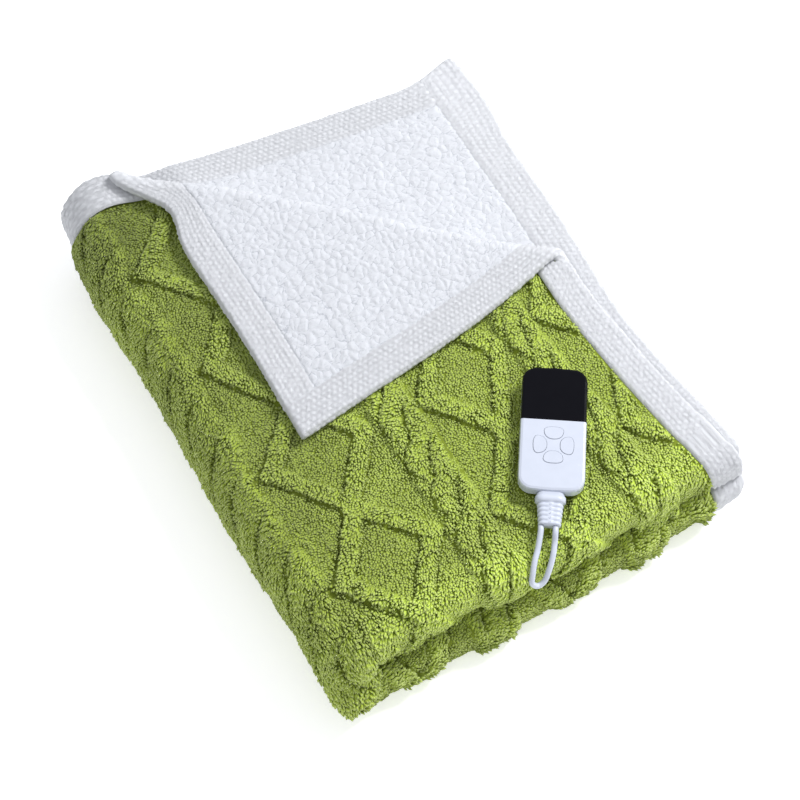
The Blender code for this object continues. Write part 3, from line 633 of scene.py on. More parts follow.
def cloth_slab(name, across, along, outer, inner, stride, material, wanted=None):
    """A closed sheet of folded cloth. outer and inner turn (across, along) into heights.

    wanted says whether the cloth is made at a place, and without it, all of it is.
    """
    kept = None
    if wanted:
        columns = every(range(len(across)), stride)
        rows = every(range(len(along)), stride)
        corners = wanted(*np.meshgrid(across[columns], along[rows]))
        kept = corners[:-1, :-1] | corners[:-1, 1:] | corners[1:, :-1] | corners[1:, 1:]
    faces, columns, rows = slab_faces(len(across), len(along), stride, kept)
    u, v = grid(across, along)
    under_u, under_v = grid(across[columns], along[rows])
    top = np.stack((u, v, outer(u, v)), axis=1)
    bottom = np.stack((under_u, under_v, inner(under_u, under_v)), axis=1)
    is_outer = np.concatenate((np.ones(len(top)), np.zeros(len(bottom))))
    flat = np.concatenate((top, bottom))
    if top[:, 2].mean() < bottom[:, 2].mean():
        faces = [face[::-1] for face in faces]
    used = np.unique(np.concatenate([np.array(face) for face in faces]))
    renumbered = np.zeros(len(flat), int)
    renumbered[used] = np.arange(len(used))
    faces = [renumbered[face].tolist() for face in faces]
    obj = new_object(name, on_floor(folded(flat[used])), faces, material)
    store(obj.data, "flat", "FLOAT_VECTOR", flat[used])
    store(obj.data, "outer", "FLOAT", is_outer[used])
    return obj


def on_floor(points):
    """Points with none below the surface that the blanket lies on."""
    return np.column_stack((points[:, :2], np.maximum(points[:, 2], 0)))


# Node trees


def add_node(tree, kind, inputs=None, **settings):
    """A node with its settings, and with each input set to a value or linked to another node's socket."""
    node = tree.nodes.new(kind)
    for name, value in settings.items():
        setattr(node, name, value)
    for key, value in (inputs or {}).items():
        if isinstance(value, bpy.types.NodeSocket):
            tree.links.new(value, node.inputs[key])
        else:
            node.inputs[key].default_value = value
    return node


def result(tree, kind, inputs=None, **settings):
    """The first output of a new node."""
    return add_node(tree, kind, inputs, **settings).outputs[0]


def math_node(tree, operation, *values):
    """The result of a Math node."""
    return result(tree, "ShaderNodeMath", dict(enumerate(values)), operation=operation)


def times(tree, value, *others):
    """Values multiplied together."""
    for other in others:
        value = math_node(tree, "MULTIPLY", value, other)
    return value


def vector_node(tree, operation, *values, scale=None):
    """The result of a Vector Math node."""
    inputs = dict(enumerate(values))
    if scale is not None:
        inputs["Scale"] = scale
    return result(tree, "ShaderNodeVectorMath", inputs, operation=operation)


def fit(tree, value, low, high, new_low=0.0, new_high=1.0, smoothly=False):
    """A value taken from one range to another and kept inside it."""
    kind = "SMOOTHSTEP" if smoothly else "LINEAR"
    inputs = {"Value": value, "From Min": low, "From Max": high, "To Min": new_low, "To Max": new_high}
    return add_node(tree, "ShaderNodeMapRange", inputs, interpolation_type=kind).outputs["Result"]


def noise(tree, place, scale, detail, output=0):
    """Noise over places."""
    inputs = {"Vector": place, "Scale": scale, "Detail": detail}
    return add_node(tree, "ShaderNodeTexNoise", inputs).outputs[output]


def pushed(tree, place, colour, reach):
    """Places pushed about by a random colour, half of reach each way."""
    push = vector_node(tree, "SUBTRACT", colour, (0.5, 0.5, 0.5))
    return vector_node(tree, "ADD", place, vector_node(tree, "SCALE", push, scale=reach))


def random_value(tree, low, high, seed):
    """A random number or vector for every point."""
    kind, output = ("FLOAT_VECTOR", 0) if isinstance(low, tuple) else ("FLOAT", 1)
    inputs = {"Min": low, "Max": high, "Seed": seed}
    return add_node(tree, "FunctionNodeRandomValue", inputs, data_type=kind).outputs[output]


def new_tree(name, tree_kind, inputs, outputs):
    """A node group with named sockets, each given its type, or its default where that is a number."""
    tree = bpy.data.node_groups.new(name, tree_kind)
    for sockets, way in ((inputs, "INPUT"), (outputs, "OUTPUT")):
        for label, given in sockets.items():
            kind = given if isinstance(given, str) else type(given).__name__.title()
            socket = tree.interface.new_socket(name=label, in_out=way, socket_type="NodeSocket" + kind)
            if kind != given:
                socket.default_value = given
    return tree, tree.nodes.new("NodeGroupInput"), tree.nodes.new("NodeGroupOutput")


def run_nodes(obj, tree, values):
    """Run a Geometry Nodes tree on an object once, and keep its result as the object's plain mesh."""
    modifier = obj.modifiers.new(tree.name, "NODES")
    modifier.node_group = tree
    sockets = {item.name: item for item in tree.interface.items_tree if item.in_out == "INPUT"}
    for name, value in values.items():
        modifier[sockets[name].identifier] = value
    depsgraph = bpy.context.evaluated_depsgraph_get()
    evaluated = obj.evaluated_get(depsgraph)
    mesh = bpy.data.meshes.new_from_object(evaluated, preserve_all_data_layers=True, depsgraph=depsgraph)
    obj.modifiers.clear()
    old = obj.data
    obj.data = mesh
    mesh.name = obj.name
    bpy.data.meshes.remove(old)
    return obj


def named(tree, name, kind="FLOAT"):
    """A stored attribute in Geometry Nodes."""
    node = add_node(tree, "GeometryNodeInputNamedAttribute", {"Name": name}, data_type=kind)
    return node.outputs["Attribute"]


def keep_off_floor(tree, geometry):
    """Geometry with its points lifted to the surface that the blanket lies on."""
    place = add_node(tree, "ShaderNodeSeparateXYZ", {0: result(tree, "GeometryNodeInputPosition")}).outputs
    height = math_node(tree, "MAXIMUM", place["Z"], 0.0001)
    lifted = result(tree, "ShaderNodeCombineXYZ", {"X": place["X"], "Y": place["Y"], "Z": height})
    return result(tree, "GeometryNodeSetPosition", {"Geometry": geometry, "Position": lifted})


def push_out(tree, geometry, distance):
    """Geometry with its points moved along their normals."""
    offset = vector_node(tree, "SCALE", result(tree, "GeometryNodeInputNormal"), scale=distance)
    return result(tree, "GeometryNodeSetPosition", {"Geometry": geometry, "Offset": offset})


def end_tree(tree, geometry, start, end):
    """The last nodes of a tree: plain geometry, with its material."""
    real = result(tree, "GeometryNodeRealizeInstances", {"Geometry": geometry})
    inputs = {"Geometry": real, "Material": start.outputs["Material"]}
    tree.links.new(result(tree, "GeometryNodeSetMaterial", inputs), end.inputs[0])


def pile_tree():
    """Tufts of pile that stand on a patch of cloth and lean with its flow."""
    sockets = {
        "Cloth": "Geometry",
        "Tuft": "Object",
        "Spacing": 0.002,
        "Tuft Length": 0.004,
        "Tuft Width": 0.002,
        "Clump Size": 0.006,
        "Seed": 1,
        "Material": "Material",
    }
    tree, start, end = new_tree("pile tufts", "GeometryNodeTree", sockets, {"Pile": "Geometry"})
    given = start.outputs
    scattering = {
        "Mesh": given["Cloth"],
        "Distance Min": given["Spacing"],
        "Density Max": PILE_DENSITY,
        "Density Factor": named(tree, "cover"),
        "Seed": given["Seed"],
    }
    scatter = add_node(tree, "GeometryNodeDistributePointsOnFaces", scattering, distribute_method="POISSON")
    cells = {
        "Vector": result(tree, "GeometryNodeInputPosition"),
        "Scale": math_node(tree, "DIVIDE", 1.0, given["Clump Size"]),
        "Randomness": 1.0,
    }
    clump = add_node(tree, "ShaderNodeTexVoronoi", cells).outputs["Color"]
    lean = pushed(tree, named(tree, "flow", "FLOAT_VECTOR"), clump, named(tree, "tousle"))
    loose = random_value(tree, (-0.35, -0.35, -0.35), (0.35, 0.35, 0.35), given["Seed"])
    lean = vector_node(tree, "ADD", lean, loose)
    upright = scatter.outputs["Normal"]
    way = vector_node(tree, "NORMALIZE", vector_node(tree, "ADD", lean, upright))
    down = vector_node(tree, "SCALE", upright, scale=-1.0)
    align = "FunctionNodeAlignRotationToVector"
    turn = result(tree, align, {"Vector": way}, axis="Z", pivot_axis="AUTO")
    turn = result(tree, align, {"Rotation": turn, "Vector": down}, axis="X", pivot_axis="Z")
    varied = random_value(tree, 0.8, 1.25, given["Seed"])
    length = times(tree, given["Tuft Length"], named(tree, "growth"), varied)
    width = times(tree, given["Tuft Width"], varied)
    tuft = add_node(tree, "GeometryNodeObjectInfo", {"Object": given["Tuft"]}, transform_space="ORIGINAL")
    toning = {
        "Geometry": scatter.outputs["Points"],
        "Name": "tone",
        "Value": random_value(tree, 0.0, 1.0, 7),
    }
    toned = result(tree, "GeometryNodeStoreNamedAttribute", toning, data_type="FLOAT", domain="POINT")
    placing = {
        "Points": toned,
        "Instance": tuft.outputs["Geometry"],
        "Rotation": turn,
        "Scale": result(tree, "ShaderNodeCombineXYZ", {"X": width, "Y": width, "Z": length}),
    }
    placed = result(tree, "GeometryNodeInstanceOnPoints", placing)
    pile = result(tree, "GeometryNodeRealizeInstances", {"Geometry": placed})
    for name in ("flow", "cover", "growth", "tousle"):
        pile = result(tree, "GeometryNodeRemoveAttribute", {"Geometry": pile, "Name": name})
    smoothed = result(tree, "GeometryNodeSetShadeSmooth", {"Geometry": keep_off_floor(tree, pile)})
    end_tree(tree, smoothed, start, end)
    return tree


def nub_edges(tree, flat, density, curl):
    """Distance from the edges of the fleece's large and small nubs, at places of the flat cloth."""
    plan = vector_node(tree, "MULTIPLY", flat, (1.0, 1.0, 0.0))
    curled = pushed(tree, plan, noise(tree, plan, 95.0, 3.0, "Color"), curl)
    edges = []
    for factor in (1.0, 2.1):
        inputs = {"Vector": curled, "Scale": times(tree, density, factor)}
        node = add_node(tree, "ShaderNodeTexVoronoi", inputs, feature="DISTANCE_TO_EDGE")
        edges.append(node.outputs["Distance"])
    return plan, *edges


def nap_tree():
    """Curly nubs pushed out of the fleece, with narrow cracks between them."""
    sockets = {
        "Cloth": "Geometry",
        "Nub Size": 0.008,
        "Nub Height": 0.002,
        "Curl": 0.005,
        "Material": "Material",
    }
    tree, start, end = new_tree("fleece nubs", "GeometryNodeTree", sockets, {"Fleece": "Geometry"})
    given = start.outputs
    density = math_node(tree, "DIVIDE", 1.0, given["Nub Size"])
    plan, *edges = nub_edges(tree, named(tree, "flat", "FLOAT_VECTOR"), density, given["Curl"])
    large, small = [
        math_node(tree, "POWER", fit(tree, edge, 0.0, width, smoothly=True), 0.5)
        for edge, width in zip(edges, (0.26, 0.22))
    ]
    joined = fit(tree, noise(tree, plan, 150.0, 1.0), 0.42, 0.6)
    small_share = fit(tree, joined, 0.0, 1.0, 0.8, 0.25)
    lump = times(tree, large, fit(tree, small, 0.0, 1.0, small_share, 1.0))
    raised = times(tree, lump, given["Nub Height"], named(tree, "outer"))
    end_tree(tree, push_out(tree, given["Cloth"], raised), start, end)
    return tree


def grains(tree, place, width, length):
    """Rows of oval grains over a ribbon's plan, each row shifted by half a grain: 0 in the gaps, 1 on top."""
    place = add_node(tree, "ShaderNodeSeparateXYZ", {0: place}).outputs
    row = math_node(tree, "DIVIDE", place["X"], width)
    run = math_node(tree, "DIVIDE", place["Y"], length)
    shifted = math_node(tree, "ADD", run, times(tree, math_node(tree, "FLOOR", row), 0.5))
    ripple = [
        math_node(tree, "SINE", times(tree, math_node(tree, "FRACT", value), math.pi))
        for value in (row, shifted)
    ]
    return math_node(tree, "POWER", math_node(tree, "MAXIMUM", times(tree, *ripple), 0.0), 0.6)


def weave_tree():
    """Rows of small grains that stand out of the ribbon."""
    sockets = {
        "Ribbon": "Geometry",
        "Grain Length": 0.0048,
        "Grain Width": 0.0036,
        "Grain Height": 0.0008,
        "Drift": 0.004,
        "Material": "Material",
    }
    tree, start, end = new_tree("ribbon weave", "GeometryNodeTree", sockets, {"Ribbon": "Geometry"})
    given = start.outputs
    flat = named(tree, "ribbon", "FLOAT_VECTOR")
    drifted = pushed(tree, flat, noise(tree, flat, 70.0, 1.0, "Color"), given["Drift"])
    grain = grains(tree, drifted, given["Grain Width"], given["Grain Length"])
    swell = fit(tree, noise(tree, flat, 130.0, 2.0), 0.25, 0.75, -0.5, 0.5)
    raised = math_node(tree, "ADD", grain, swell)
    raised = times(tree, raised, given["Grain Height"], named(tree, "outer"))
    end_tree(tree, keep_off_floor(tree, push_out(tree, given["Ribbon"], raised)), start, end)
    return tree


# Materials


def new_material(name, roughness, **constants):
    """A material with its Principled shader. Constants are set on the shader's own sockets."""
    material = bpy.data.materials.new(name)
    material.use_nodes = True
    tree = material.node_tree
    shader = tree.nodes["Principled BSDF"]
    shader.inputs["Roughness"].default_value = roughness
    for socket, value in constants.items():
        shader.inputs[socket.replace("_", " ")].default_value = value
    return material, tree, shader


def attribute_node(tree, name):
    """An attribute of the piece, for its material."""
    return add_node(tree, "ShaderNodeAttribute", attribute_name=name, attribute_type="GEOMETRY").outputs


def mix_colour(tree, factor, first, second, blend="MIX"):
    """Two colours mixed by a factor."""
    node = tree.nodes.new("ShaderNodeMix")
    node.data_type = "RGBA"
    node.blend_type = blend
    for socket, value in (("Factor_Float", factor), ("A_Color", first), ("B_Color", second)):
        target = next(item for item in node.inputs if item.identifier == socket)
        if isinstance(value, bpy.types.NodeSocket):
            tree.links.new(value, target)
        else:
            target.default_value = value if socket == "Factor_Float" else (*value[:3], 1)
    return next(item for item in node.outputs if item.identifier == "Result_Color")


def fibre_group():
    """Fine fibre grain and soft uneven tone, shared by all the finishes."""
    sockets = {"Fibre Scale": 1500.0, "Patch Scale": 30.0}
    tree, start, end = new_tree("fibre", "ShaderNodeTree", sockets, {"Grain": "Float", "Tone": "Float"})
    place = tree.nodes.new("ShaderNodeTexCoord").outputs["Object"]
    patches = noise(tree, place, start.outputs["Patch Scale"], 2.0)
    tree.links.new(noise(tree, place, start.outputs["Fibre Scale"], 3.0), end.inputs["Grain"])
    tree.links.new(fit(tree, patches, 0.3, 0.7), end.inputs["Tone"])
    return tree


def use_group(tree, group, fibre_scale, patch_scale):
    """The shared fibre group placed in a material with its own values."""
    inputs = {"Fibre Scale": fibre_scale, "Patch Scale": patch_scale}
    return add_node(tree, "ShaderNodeGroup", inputs, node_tree=group).outputs


def dimmed(tree, colour, level):
    """A colour multiplied by a level."""
    grey = result(tree, "ShaderNodeCombineXYZ", {"X": level, "Y": level, "Z": level})
    return mix_colour(tree, 1.0, colour, grey, "MULTIPLY")


def darker(share, colour):
    """A plain colour times a share."""
    return [share * value for value in colour]


def set_surface(tree, shader, colour, relief, depth):
    """A material's colour, and its relief too fine for the mesh."""
    tree.links.new(colour, shader.inputs["Base Color"])
    raised = result(tree, "ShaderNodeBump", {"Height": relief, "Distance": depth, "Strength": 1.0})
    tree.links.new(raised, shader.inputs["Normal"])


def pile_material(group, settings):
    """Plush pile: darker at its roots as painted shade between the tufts, lighter and more yellow at its tips
    as painted light, a little uneven, and brightened or dimmed by painted light and shade.
    """
    _, tree, shader = new_material("plush pile", 0.85, Sheen_Weight=0.1, Sheen_Roughness=0.4)
    fibre = use_group(tree, group, 1400.0, 26.0)
    tip, shade, tone = [attribute_node(tree, name)["Fac"] for name in ("tip", "shade", "tone")]
    # Painted shade towards the roots, painted light towards the tips
    lower = mix_colour(tree, fit(tree, tip, 0.0, 0.55), settings.root_colour, settings.pile_colour)
    colour = mix_colour(tree, fit(tree, tip, 0.5, 1.0), lower, settings.tip_colour)
    # Painted light and shade from the shade attribute
    level = fit(tree, shade, 0.0, 1.0, 0.35, 1.25)
    for part, spread in ((tone, 0.08), (fibre["Tone"], 0.07)):
        level = math_node(tree, "ADD", level, fit(tree, part, 0.0, 1.0, -spread, spread))
    set_surface(tree, shader, dimmed(tree, colour, level), fibre["Grain"], 0.0004)


def ground_material(group, settings):
    """The knitted ground that the pile stands on, seen only between the tufts: painted dark as the shade
    there, and dimmed by painted light and shade.
    """
    _, tree, shader = new_material("plush ground", 0.95)
    fibre = use_group(tree, group, 900.0, 40.0)
    # Painted shade between the tufts: a dark share of the roots' colour
    dark = darker(0.36, settings.root_colour)
    colour = mix_colour(tree, fibre["Tone"], dark, darker(1.3, dark))
    colour = dimmed(tree, colour, attribute_node(tree, "shade")["Fac"])
    set_surface(tree, shader, colour, fibre["Grain"], 0.0006)


def fleece_material(group, settings):
    """Curly white fleece, with painted shade greying the cracks between its nubs."""
    _, tree, shader = new_material("white fleece", 0.95, Sheen_Weight=0.12, Sheen_Roughness=0.5)
    fibre = use_group(tree, group, 1100.0, 45.0)
    size = settings.nub_size
    plan, large, small = nub_edges(tree, attribute_node(tree, "flat")["Vector"], 1 / size, size * NUB_CURL)
    gaps = noise(tree, plan, 210.0, 1.0)
    deep = times(tree, fit(tree, large, 0.0, 0.05, 1.0, 0.0), fit(tree, gaps, 0.48, 0.54))
    fine = times(tree, fit(tree, small, 0.02, 0.10, 0.3, 0.0), fit(tree, gaps, 0.50, 0.42))
    # Painted shade in the cracks
    painted_shade_colour = [share * value for share, value in zip(CRACK_SHADE, settings.fleece_colour)]
    colour = mix_colour(tree, math_node(tree, "MAXIMUM", deep, fine), settings.fleece_colour, painted_shade_colour)
    colour = dimmed(tree, colour, fit(tree, fibre["Tone"], 0.0, 1.0, 0.95, 1.0))
    set_surface(tree, shader, colour, fibre["Grain"], 0.0010)


def ribbon_material(group, settings):
    """White woven ribbon with raised grains, and painted shade in the gaps between them."""
    _, tree, shader = new_material("white ribbon", 0.85, Sheen_Weight=0.08)
    fibre = use_group(tree, group, 1700.0, 60.0)
    flat = attribute_node(tree, "ribbon")["Vector"]
    drifted = pushed(tree, flat, noise(tree, flat, 120.0, 2.0, "Color"), 0.006)
    grain = grains(tree, drifted, settings.grain_width, settings.grain_length)
    # Painted shade in the gaps between the grains
    painted_shade_colour = darker(0.925, settings.ribbon_colour)
    colour = mix_colour(tree, fit(tree, grain, 0.0, 0.30), painted_shade_colour, settings.ribbon_colour)
    relief = math_node(tree, "ADD", grain, times(tree, fibre["Grain"], 0.3))
    set_surface(tree, shader, colour, relief, 0.0004)


def moulded_material(name, group, colour, roughness, grain, **constants):
    """Moulded plastic: even colour, faintly varied gloss and a trace of surface grain."""
    _, tree, shader = new_material(name, roughness, **constants)
    fibre = use_group(tree, group, 2600.0, 90.0)
    mixed = mix_colour(tree, fibre["Tone"], darker(0.97, colour), colour)
    gloss = fit(tree, fibre["Tone"], 0.0, 1.0, roughness * 0.9, roughness * 1.15)
    tree.links.new(gloss, shader.inputs["Roughness"])
    set_surface(tree, shader, mixed, fibre["Grain"], grain)


def make_materials():
    """All the finishes, made once."""
    cloth = bpy.context.scene.blanket_cloth
    control = bpy.context.scene.blanket_controller
    group = fibre_group()
    pile_material(group, cloth)
    ground_material(group, cloth)
    fleece_material(group, cloth)
    ribbon_material(group, cloth)
    moulded_material("gloss moulding", group, control.case_colour, 0.24, 0.00002, Coat_Weight=0.3)
    moulded_material("dark gloss window", group, control.window_colour, 0.16, 0.00001, Specular_IOR_Level=0.1)
    moulded_material("satin moulding", group, control.case_colour, 0.38, 0.00003)
    moulded_material("cord sheath", group, control.case_colour, 0.42, 0.00003)


# Blanket


def whole_cloth(name, steps_across, steps_along, outer, gap, finish):
    """One of the two cloths from edge to edge, with its lines close together in the folds."""
    across = (INSET, BINDING_WIDTH, FLAT_ACROSS, SIDE_END, CLOTH_WIDTH - BINDING_WIDTH, CLOTH_WIDTH - INSET)
    along = (INSET, BINDING_WIDTH, *FOLDS, CLOTH_LENGTH - BINDING_WIDTH, CLOTH_LENGTH - INSET)
    return cloth_slab(
        name,
        lines(across, *steps_across),
        lines(along, *steps_along),
        outer,
        lambda u, v: 0 * u + gap,
        CLOTH_STRIDE,
        bpy.data.materials[finish],
    )


def make_plush():
    """The plush face cloth, without its pile, with painted light and shade kept as its shade attribute."""
    steps_across = (0.006, 0.005, 0.0035, 0.0075, 0.0075)
    steps_along = (0.006, 0.005, 0.0022, 0.012, 0.002, 0.012, 0.002, 0.012, 0.006)
    cloth = whole_cloth("plush_cloth", steps_across, steps_along, plush_height, CLOTH_GAP, "plush ground")
    flat = stored(cloth.data, "flat", "FLOAT_VECTOR")
    # Painted light and shade over the cloth, the same as on its pile, for the ground between the tufts
    store(cloth.data, "shade", "FLOAT", 1 + 1.1 * lie_of_pile(flat[:, 0], flat[:, 1], folded(flat)))
    return cloth


def fleece_height(across, along):
    """Outer height of the fleece cloth, pressed flat under the binding."""
    edge = smooth(BINDING_WIDTH - 0.002, BINDING_WIDTH + 0.001, from_edges(across, along))
    return -(HALF_CLOTH - PRESSED + FLEECE_RISE * edge)


def make_fleece():
    """The fleece back cloth, without the nap that lies over it where it shows."""
    steps_across = (0.006, 0.008, 0.004, 0.01, 0.006)
    steps_along = (0.006, 0.006, 0.0022, 0.012, 0.002, 0.012, 0.002, 0.008, 0.006)
    return whole_cloth("fleece_cloth", steps_across, steps_along, fleece_height, -CLOTH_GAP, "white fleece")


def nap_shows(across, along):
    """Whether the fleece at a place of the top layer or the page under it can be seen."""
    x = STACK_RIGHT - across
    y = np.where(along < TOP_END, STACK_BACK - along, FRONT_Y + along - INSIDE_END)
    return past_fold(x, y) > np.where(along < TOP_END, -0.006, 0.0)


def make_nap(name, along_start, along_end, tree, settings):
    """A stretch of fleece fine enough for its nubs, over the fleece cloth."""
    fleece = bpy.data.materials["white fleece"]
    nap = cloth_slab(
        name,
        lines((BINDING_WIDTH - NAP_OVERLAP, NAP_REACH), NAP_STEP),
        lines((along_start, along_end), NAP_STEP),
        lambda u, v: fleece_height(u, v) - NAP_OUTSIDE,
        lambda u, v: fleece_height(u, v) + NAP_INSIDE,
        NAP_STRIDE,
        fleece,
        nap_shows,
    )
    u, v, _ = stored(nap.data, "flat", "FLOAT_VECTOR").T.astype(float)
    raised = stored(nap.data, "outer", "FLOAT")
    raised = raised * smooth(BINDING_WIDTH - NAP_OVERLAP, BINDING_WIDTH, from_edges(u, v))
    for reach in (np.minimum(v, CLOTH_LENGTH - v), u):
        raised = raised * (1 - smooth(NAP_REACH - NAP_FADE, NAP_REACH, reach))
    store(nap.data, "outer", "FLOAT", raised)
    values = {
        "Nub Size": settings.nub_size,
        "Nub Height": settings.nub_height,
        "Curl": settings.nub_size * NUB_CURL,
        "Material": fleece,
    }
    return run_nodes(nap, tree, values)


def ribbon_section(step):
    """Distance from the edge, height, and outward direction of the ribbon's outer side.

    The section starts on the fleece side, goes round the edge and ends on the plush side.
    """
    count = max(2, round((BINDING_WIDTH - HALF_CLOTH) / step))
    distance = np.linspace(BINDING_WIDTH, HALF_CLOTH, count, endpoint=False)
    bend_count = max(6, round(math.pi * HALF_CLOTH / step))
    bend = np.linspace(0, math.pi, bend_count + 1)
    round_distance = HALF_CLOTH - HALF_CLOTH * np.sin(bend)
    round_height = -HALF_CLOTH * np.cos(bend)
    back = distance[::-1]
    places = np.concatenate((distance, round_distance, back))
    seam = RIBBON_DIP * (1 - smooth(0, RIBBON_END, BINDING_WIDTH - distance))
    heights = np.concatenate((seam - HALF_CLOTH, round_height, HALF_CLOTH - seam[::-1]))
    out_distance = np.concatenate((0 * distance, -np.sin(bend), 0 * back))
    out_height = np.concatenate((0 * distance - 1, -np.cos(bend), 0 * back + 1))
    return places, heights, out_distance, out_height


def ribbon(name, place, way_out, run, step, full_at, tree, settings):
    """One binding strip. place turns (distance from the edge, run) into the cloth's (across, along)."""
    finish = bpy.data.materials["white ribbon"]
    places, heights, out_distance, out_height = ribbon_section(step)
    faces, columns, rows = slab_faces(len(places), len(run), CLOTH_STRIDE)
    outside = grid(np.arange(len(places)), run)
    inside = grid(np.array(columns), run[rows])
    flat = []
    for (index, at), depth in ((outside, 0.0), (inside, RIBBON_WALL)):
        distance = places[index] - out_distance[index] * depth
        from_end = np.minimum(at - run[0], run[-1] - at)
        dip = RIBBON_DIP * (1 - smooth(0, RIBBON_END, from_end))
        if run[0] == 0:
            closing = 1 - np.clip(from_end / RIBBON_END, 0, 1)
            dip = (HALF_CLOTH - RIBBON_WALL - RIBBON_CLEAR) * (1 - np.sqrt(1 - closing**2))
        full = RIBBON_FULL * bump(at, full_at, RIBBON_FULL_SPREAD) * (out_height[index] > 0)
        height = heights[index] - out_height[index] * (depth + dip - full)
        flat.append(np.stack((*place(distance, at), height), axis=1))
    if way_out < 0:
        faces = [face[::-1] for face in faces]
    obj = new_object(name, on_floor(folded(np.concatenate(flat))), faces, finish)
    index, at = [np.concatenate(pair) for pair in zip(outside, inside)]
    length = np.concatenate(([0], np.cumsum(np.hypot(np.diff(places), np.diff(heights)))))
    wide, from_seam = length[-1], length[index]
    middle = 1 - np.abs(2 * from_seam / wide - 1)
    store(obj.data, "ribbon", "FLOAT_VECTOR", np.stack((from_seam, at, middle), axis=1))
    outer = np.arange(len(index)) < len(outside[0])
    edge = smooth(0, GRAIN_FADE, np.minimum(from_seam, wide - from_seam))
    ends = smooth(run[0], run[0] + GRAIN_FADE, at) * (1 - smooth(run[-1] - GRAIN_FADE, run[-1], at))
    store(obj.data, "outer", "FLOAT", outer * edge * ends)
    values = {
        "Grain Length": settings.grain_length,
        "Grain Width": settings.grain_width,
        "Grain Height": settings.grain_height,
        "Material": finish,
    }
    return run_nodes(obj, tree, values)


def make_bindings(tree, settings):
    """The four binding strips."""
    fine, coarse, bend, close = 0.0016, 0.007, 0.002, 0.0015
    hidden = (coarse, bend, coarse, bend)
    start, tip = BINDING_WIDTH - 0.004, 0.006
    right_run = lines((0, *FOLDS, CLOTH_LENGTH), fine, fine, *hidden, fine)
    lower_stops = (0, tip, *FOLDS, CLOTH_LENGTH - tip, CLOTH_LENGTH)
    lower_run = lines(lower_stops, close, 0.004, bend, *hidden, 0.004, close)
    end_run = lines((start, FLAT_ACROSS, SIDE_END, CLOTH_WIDTH - start), fine, fine, 0.004)
    strips = [
        ("binding_right_upper", lambda d, s: (d, s), 1, right_run, fine, ROLL_FULL_AT[0]),
        ("binding_right_lower", lambda d, s: (CLOTH_WIDTH - d, s), -1, lower_run, 0.003, -1),
        ("binding_end_top", lambda d, s: (s, d), -1, end_run, fine, ROLL_FULL_AT[1]),
        ("binding_end_page", lambda d, s: (s, CLOTH_LENGTH - d), 1, end_run, fine, -1),
    ]
    made = []
    for node, place, way_out, run, step, full_at in strips:
        name = node.replace("binding", "ribbon")
        strip = ribbon(name, place, way_out, run, step, full_at, tree, settings)
        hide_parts(node)
        made.append(strip)
    return made


# Pile


def tuft_object():
    """One tuft of pile: a short, bent, three-sided tapering tube of unit length and width."""
    points = []
    tips = []
    for along, wide, bent in ((-0.10, 0.44, 0.0), (0.66, 0.52, 0.18)):
        for i in range(3):
            turn = 2 * math.pi * i / 3
            points.append((bent + wide * math.cos(turn), wide * math.sin(turn), along))
            tips.append(max(0.0, along))
    points.append((0.46, 0, 1.0))
    tips.append(1.0)
    faces = [(2, 1, 0)]
    for i in range(3):
        after = (i + 1) % 3
        faces.append((i, after, 3 + after, 3 + i))
        faces.append((3 + i, 3 + after, 6))
    tuft = new_object("tuft_pattern", points, faces, None)
    store(tuft.data, "tip", "FLOAT", tips)
    return tuft


def in_case(points):
    """Points in the controller's own frame."""
    matrix = np.array(case_matrix().inverted())
    return points @ matrix[:3, :3].T + matrix[:3, 3]


def near_control(points):
    """Distance of points from the controller's and sleeve's outline, in plan, negative inside."""
    x, y, _ = in_case(points).T
    half = CASE_SIZE / 2
    past_x = np.maximum(np.abs(x) - half.x + CASE_ROUND, 0)
    past_y = np.maximum(np.abs(y) - half.y + CASE_ROUND, 0)
    case = np.hypot(past_x, past_y) - CASE_ROUND
    sleeve_end = relief_y(SLEEVE_FINISH[0])
    sleeve = np.maximum(np.abs(x) - COLLAR[2][1], np.maximum(sleeve_end - y, y + half.y))
    return np.minimum(case, sleeve)


def shaggy(points):
    """Where the pile stands out in ragged locks: along the low front rim and at its two ends."""
    x, y, z = points.T
    front = (1 - smooth(*LOW_RIM, z)) * smooth(-0.05, -0.20, y)
    left_end, right_end = [bump_at(x, y, place, LOCK_SPREAD) for place in LOCK_PLACES]
    return np.clip(0.8 * front + left_end + right_end * (z < LOCK_TOP), 0, 1)


def lie_of_pile(across, along, points):
    """Painted shade on the left, the side fold and the back left corner; a little painted light at the right
    front.
    """
    # Painted shade towards the left and over the side fold, less towards the front
    left = smooth(FLAT_ACROSS - 0.10, FLAT_ACROSS - 0.01, across) * (1 - 0.6 * smooth(0.30, TOP_END, along))
    # Painted shadow at the back left, beside the turned corner
    corner = bump_at(points[:, 0], points[:, 1], PAINTED_SHADOW_CORNER, PAINTED_SHADOW_CORNER_SPREAD)
    # Painted light at the right front
    right = (1 - smooth(0.05, 0.16, across)) * smooth(0.25, 0.40, along)
    return 0.04 * right - 0.21 * left - 0.24 * corner


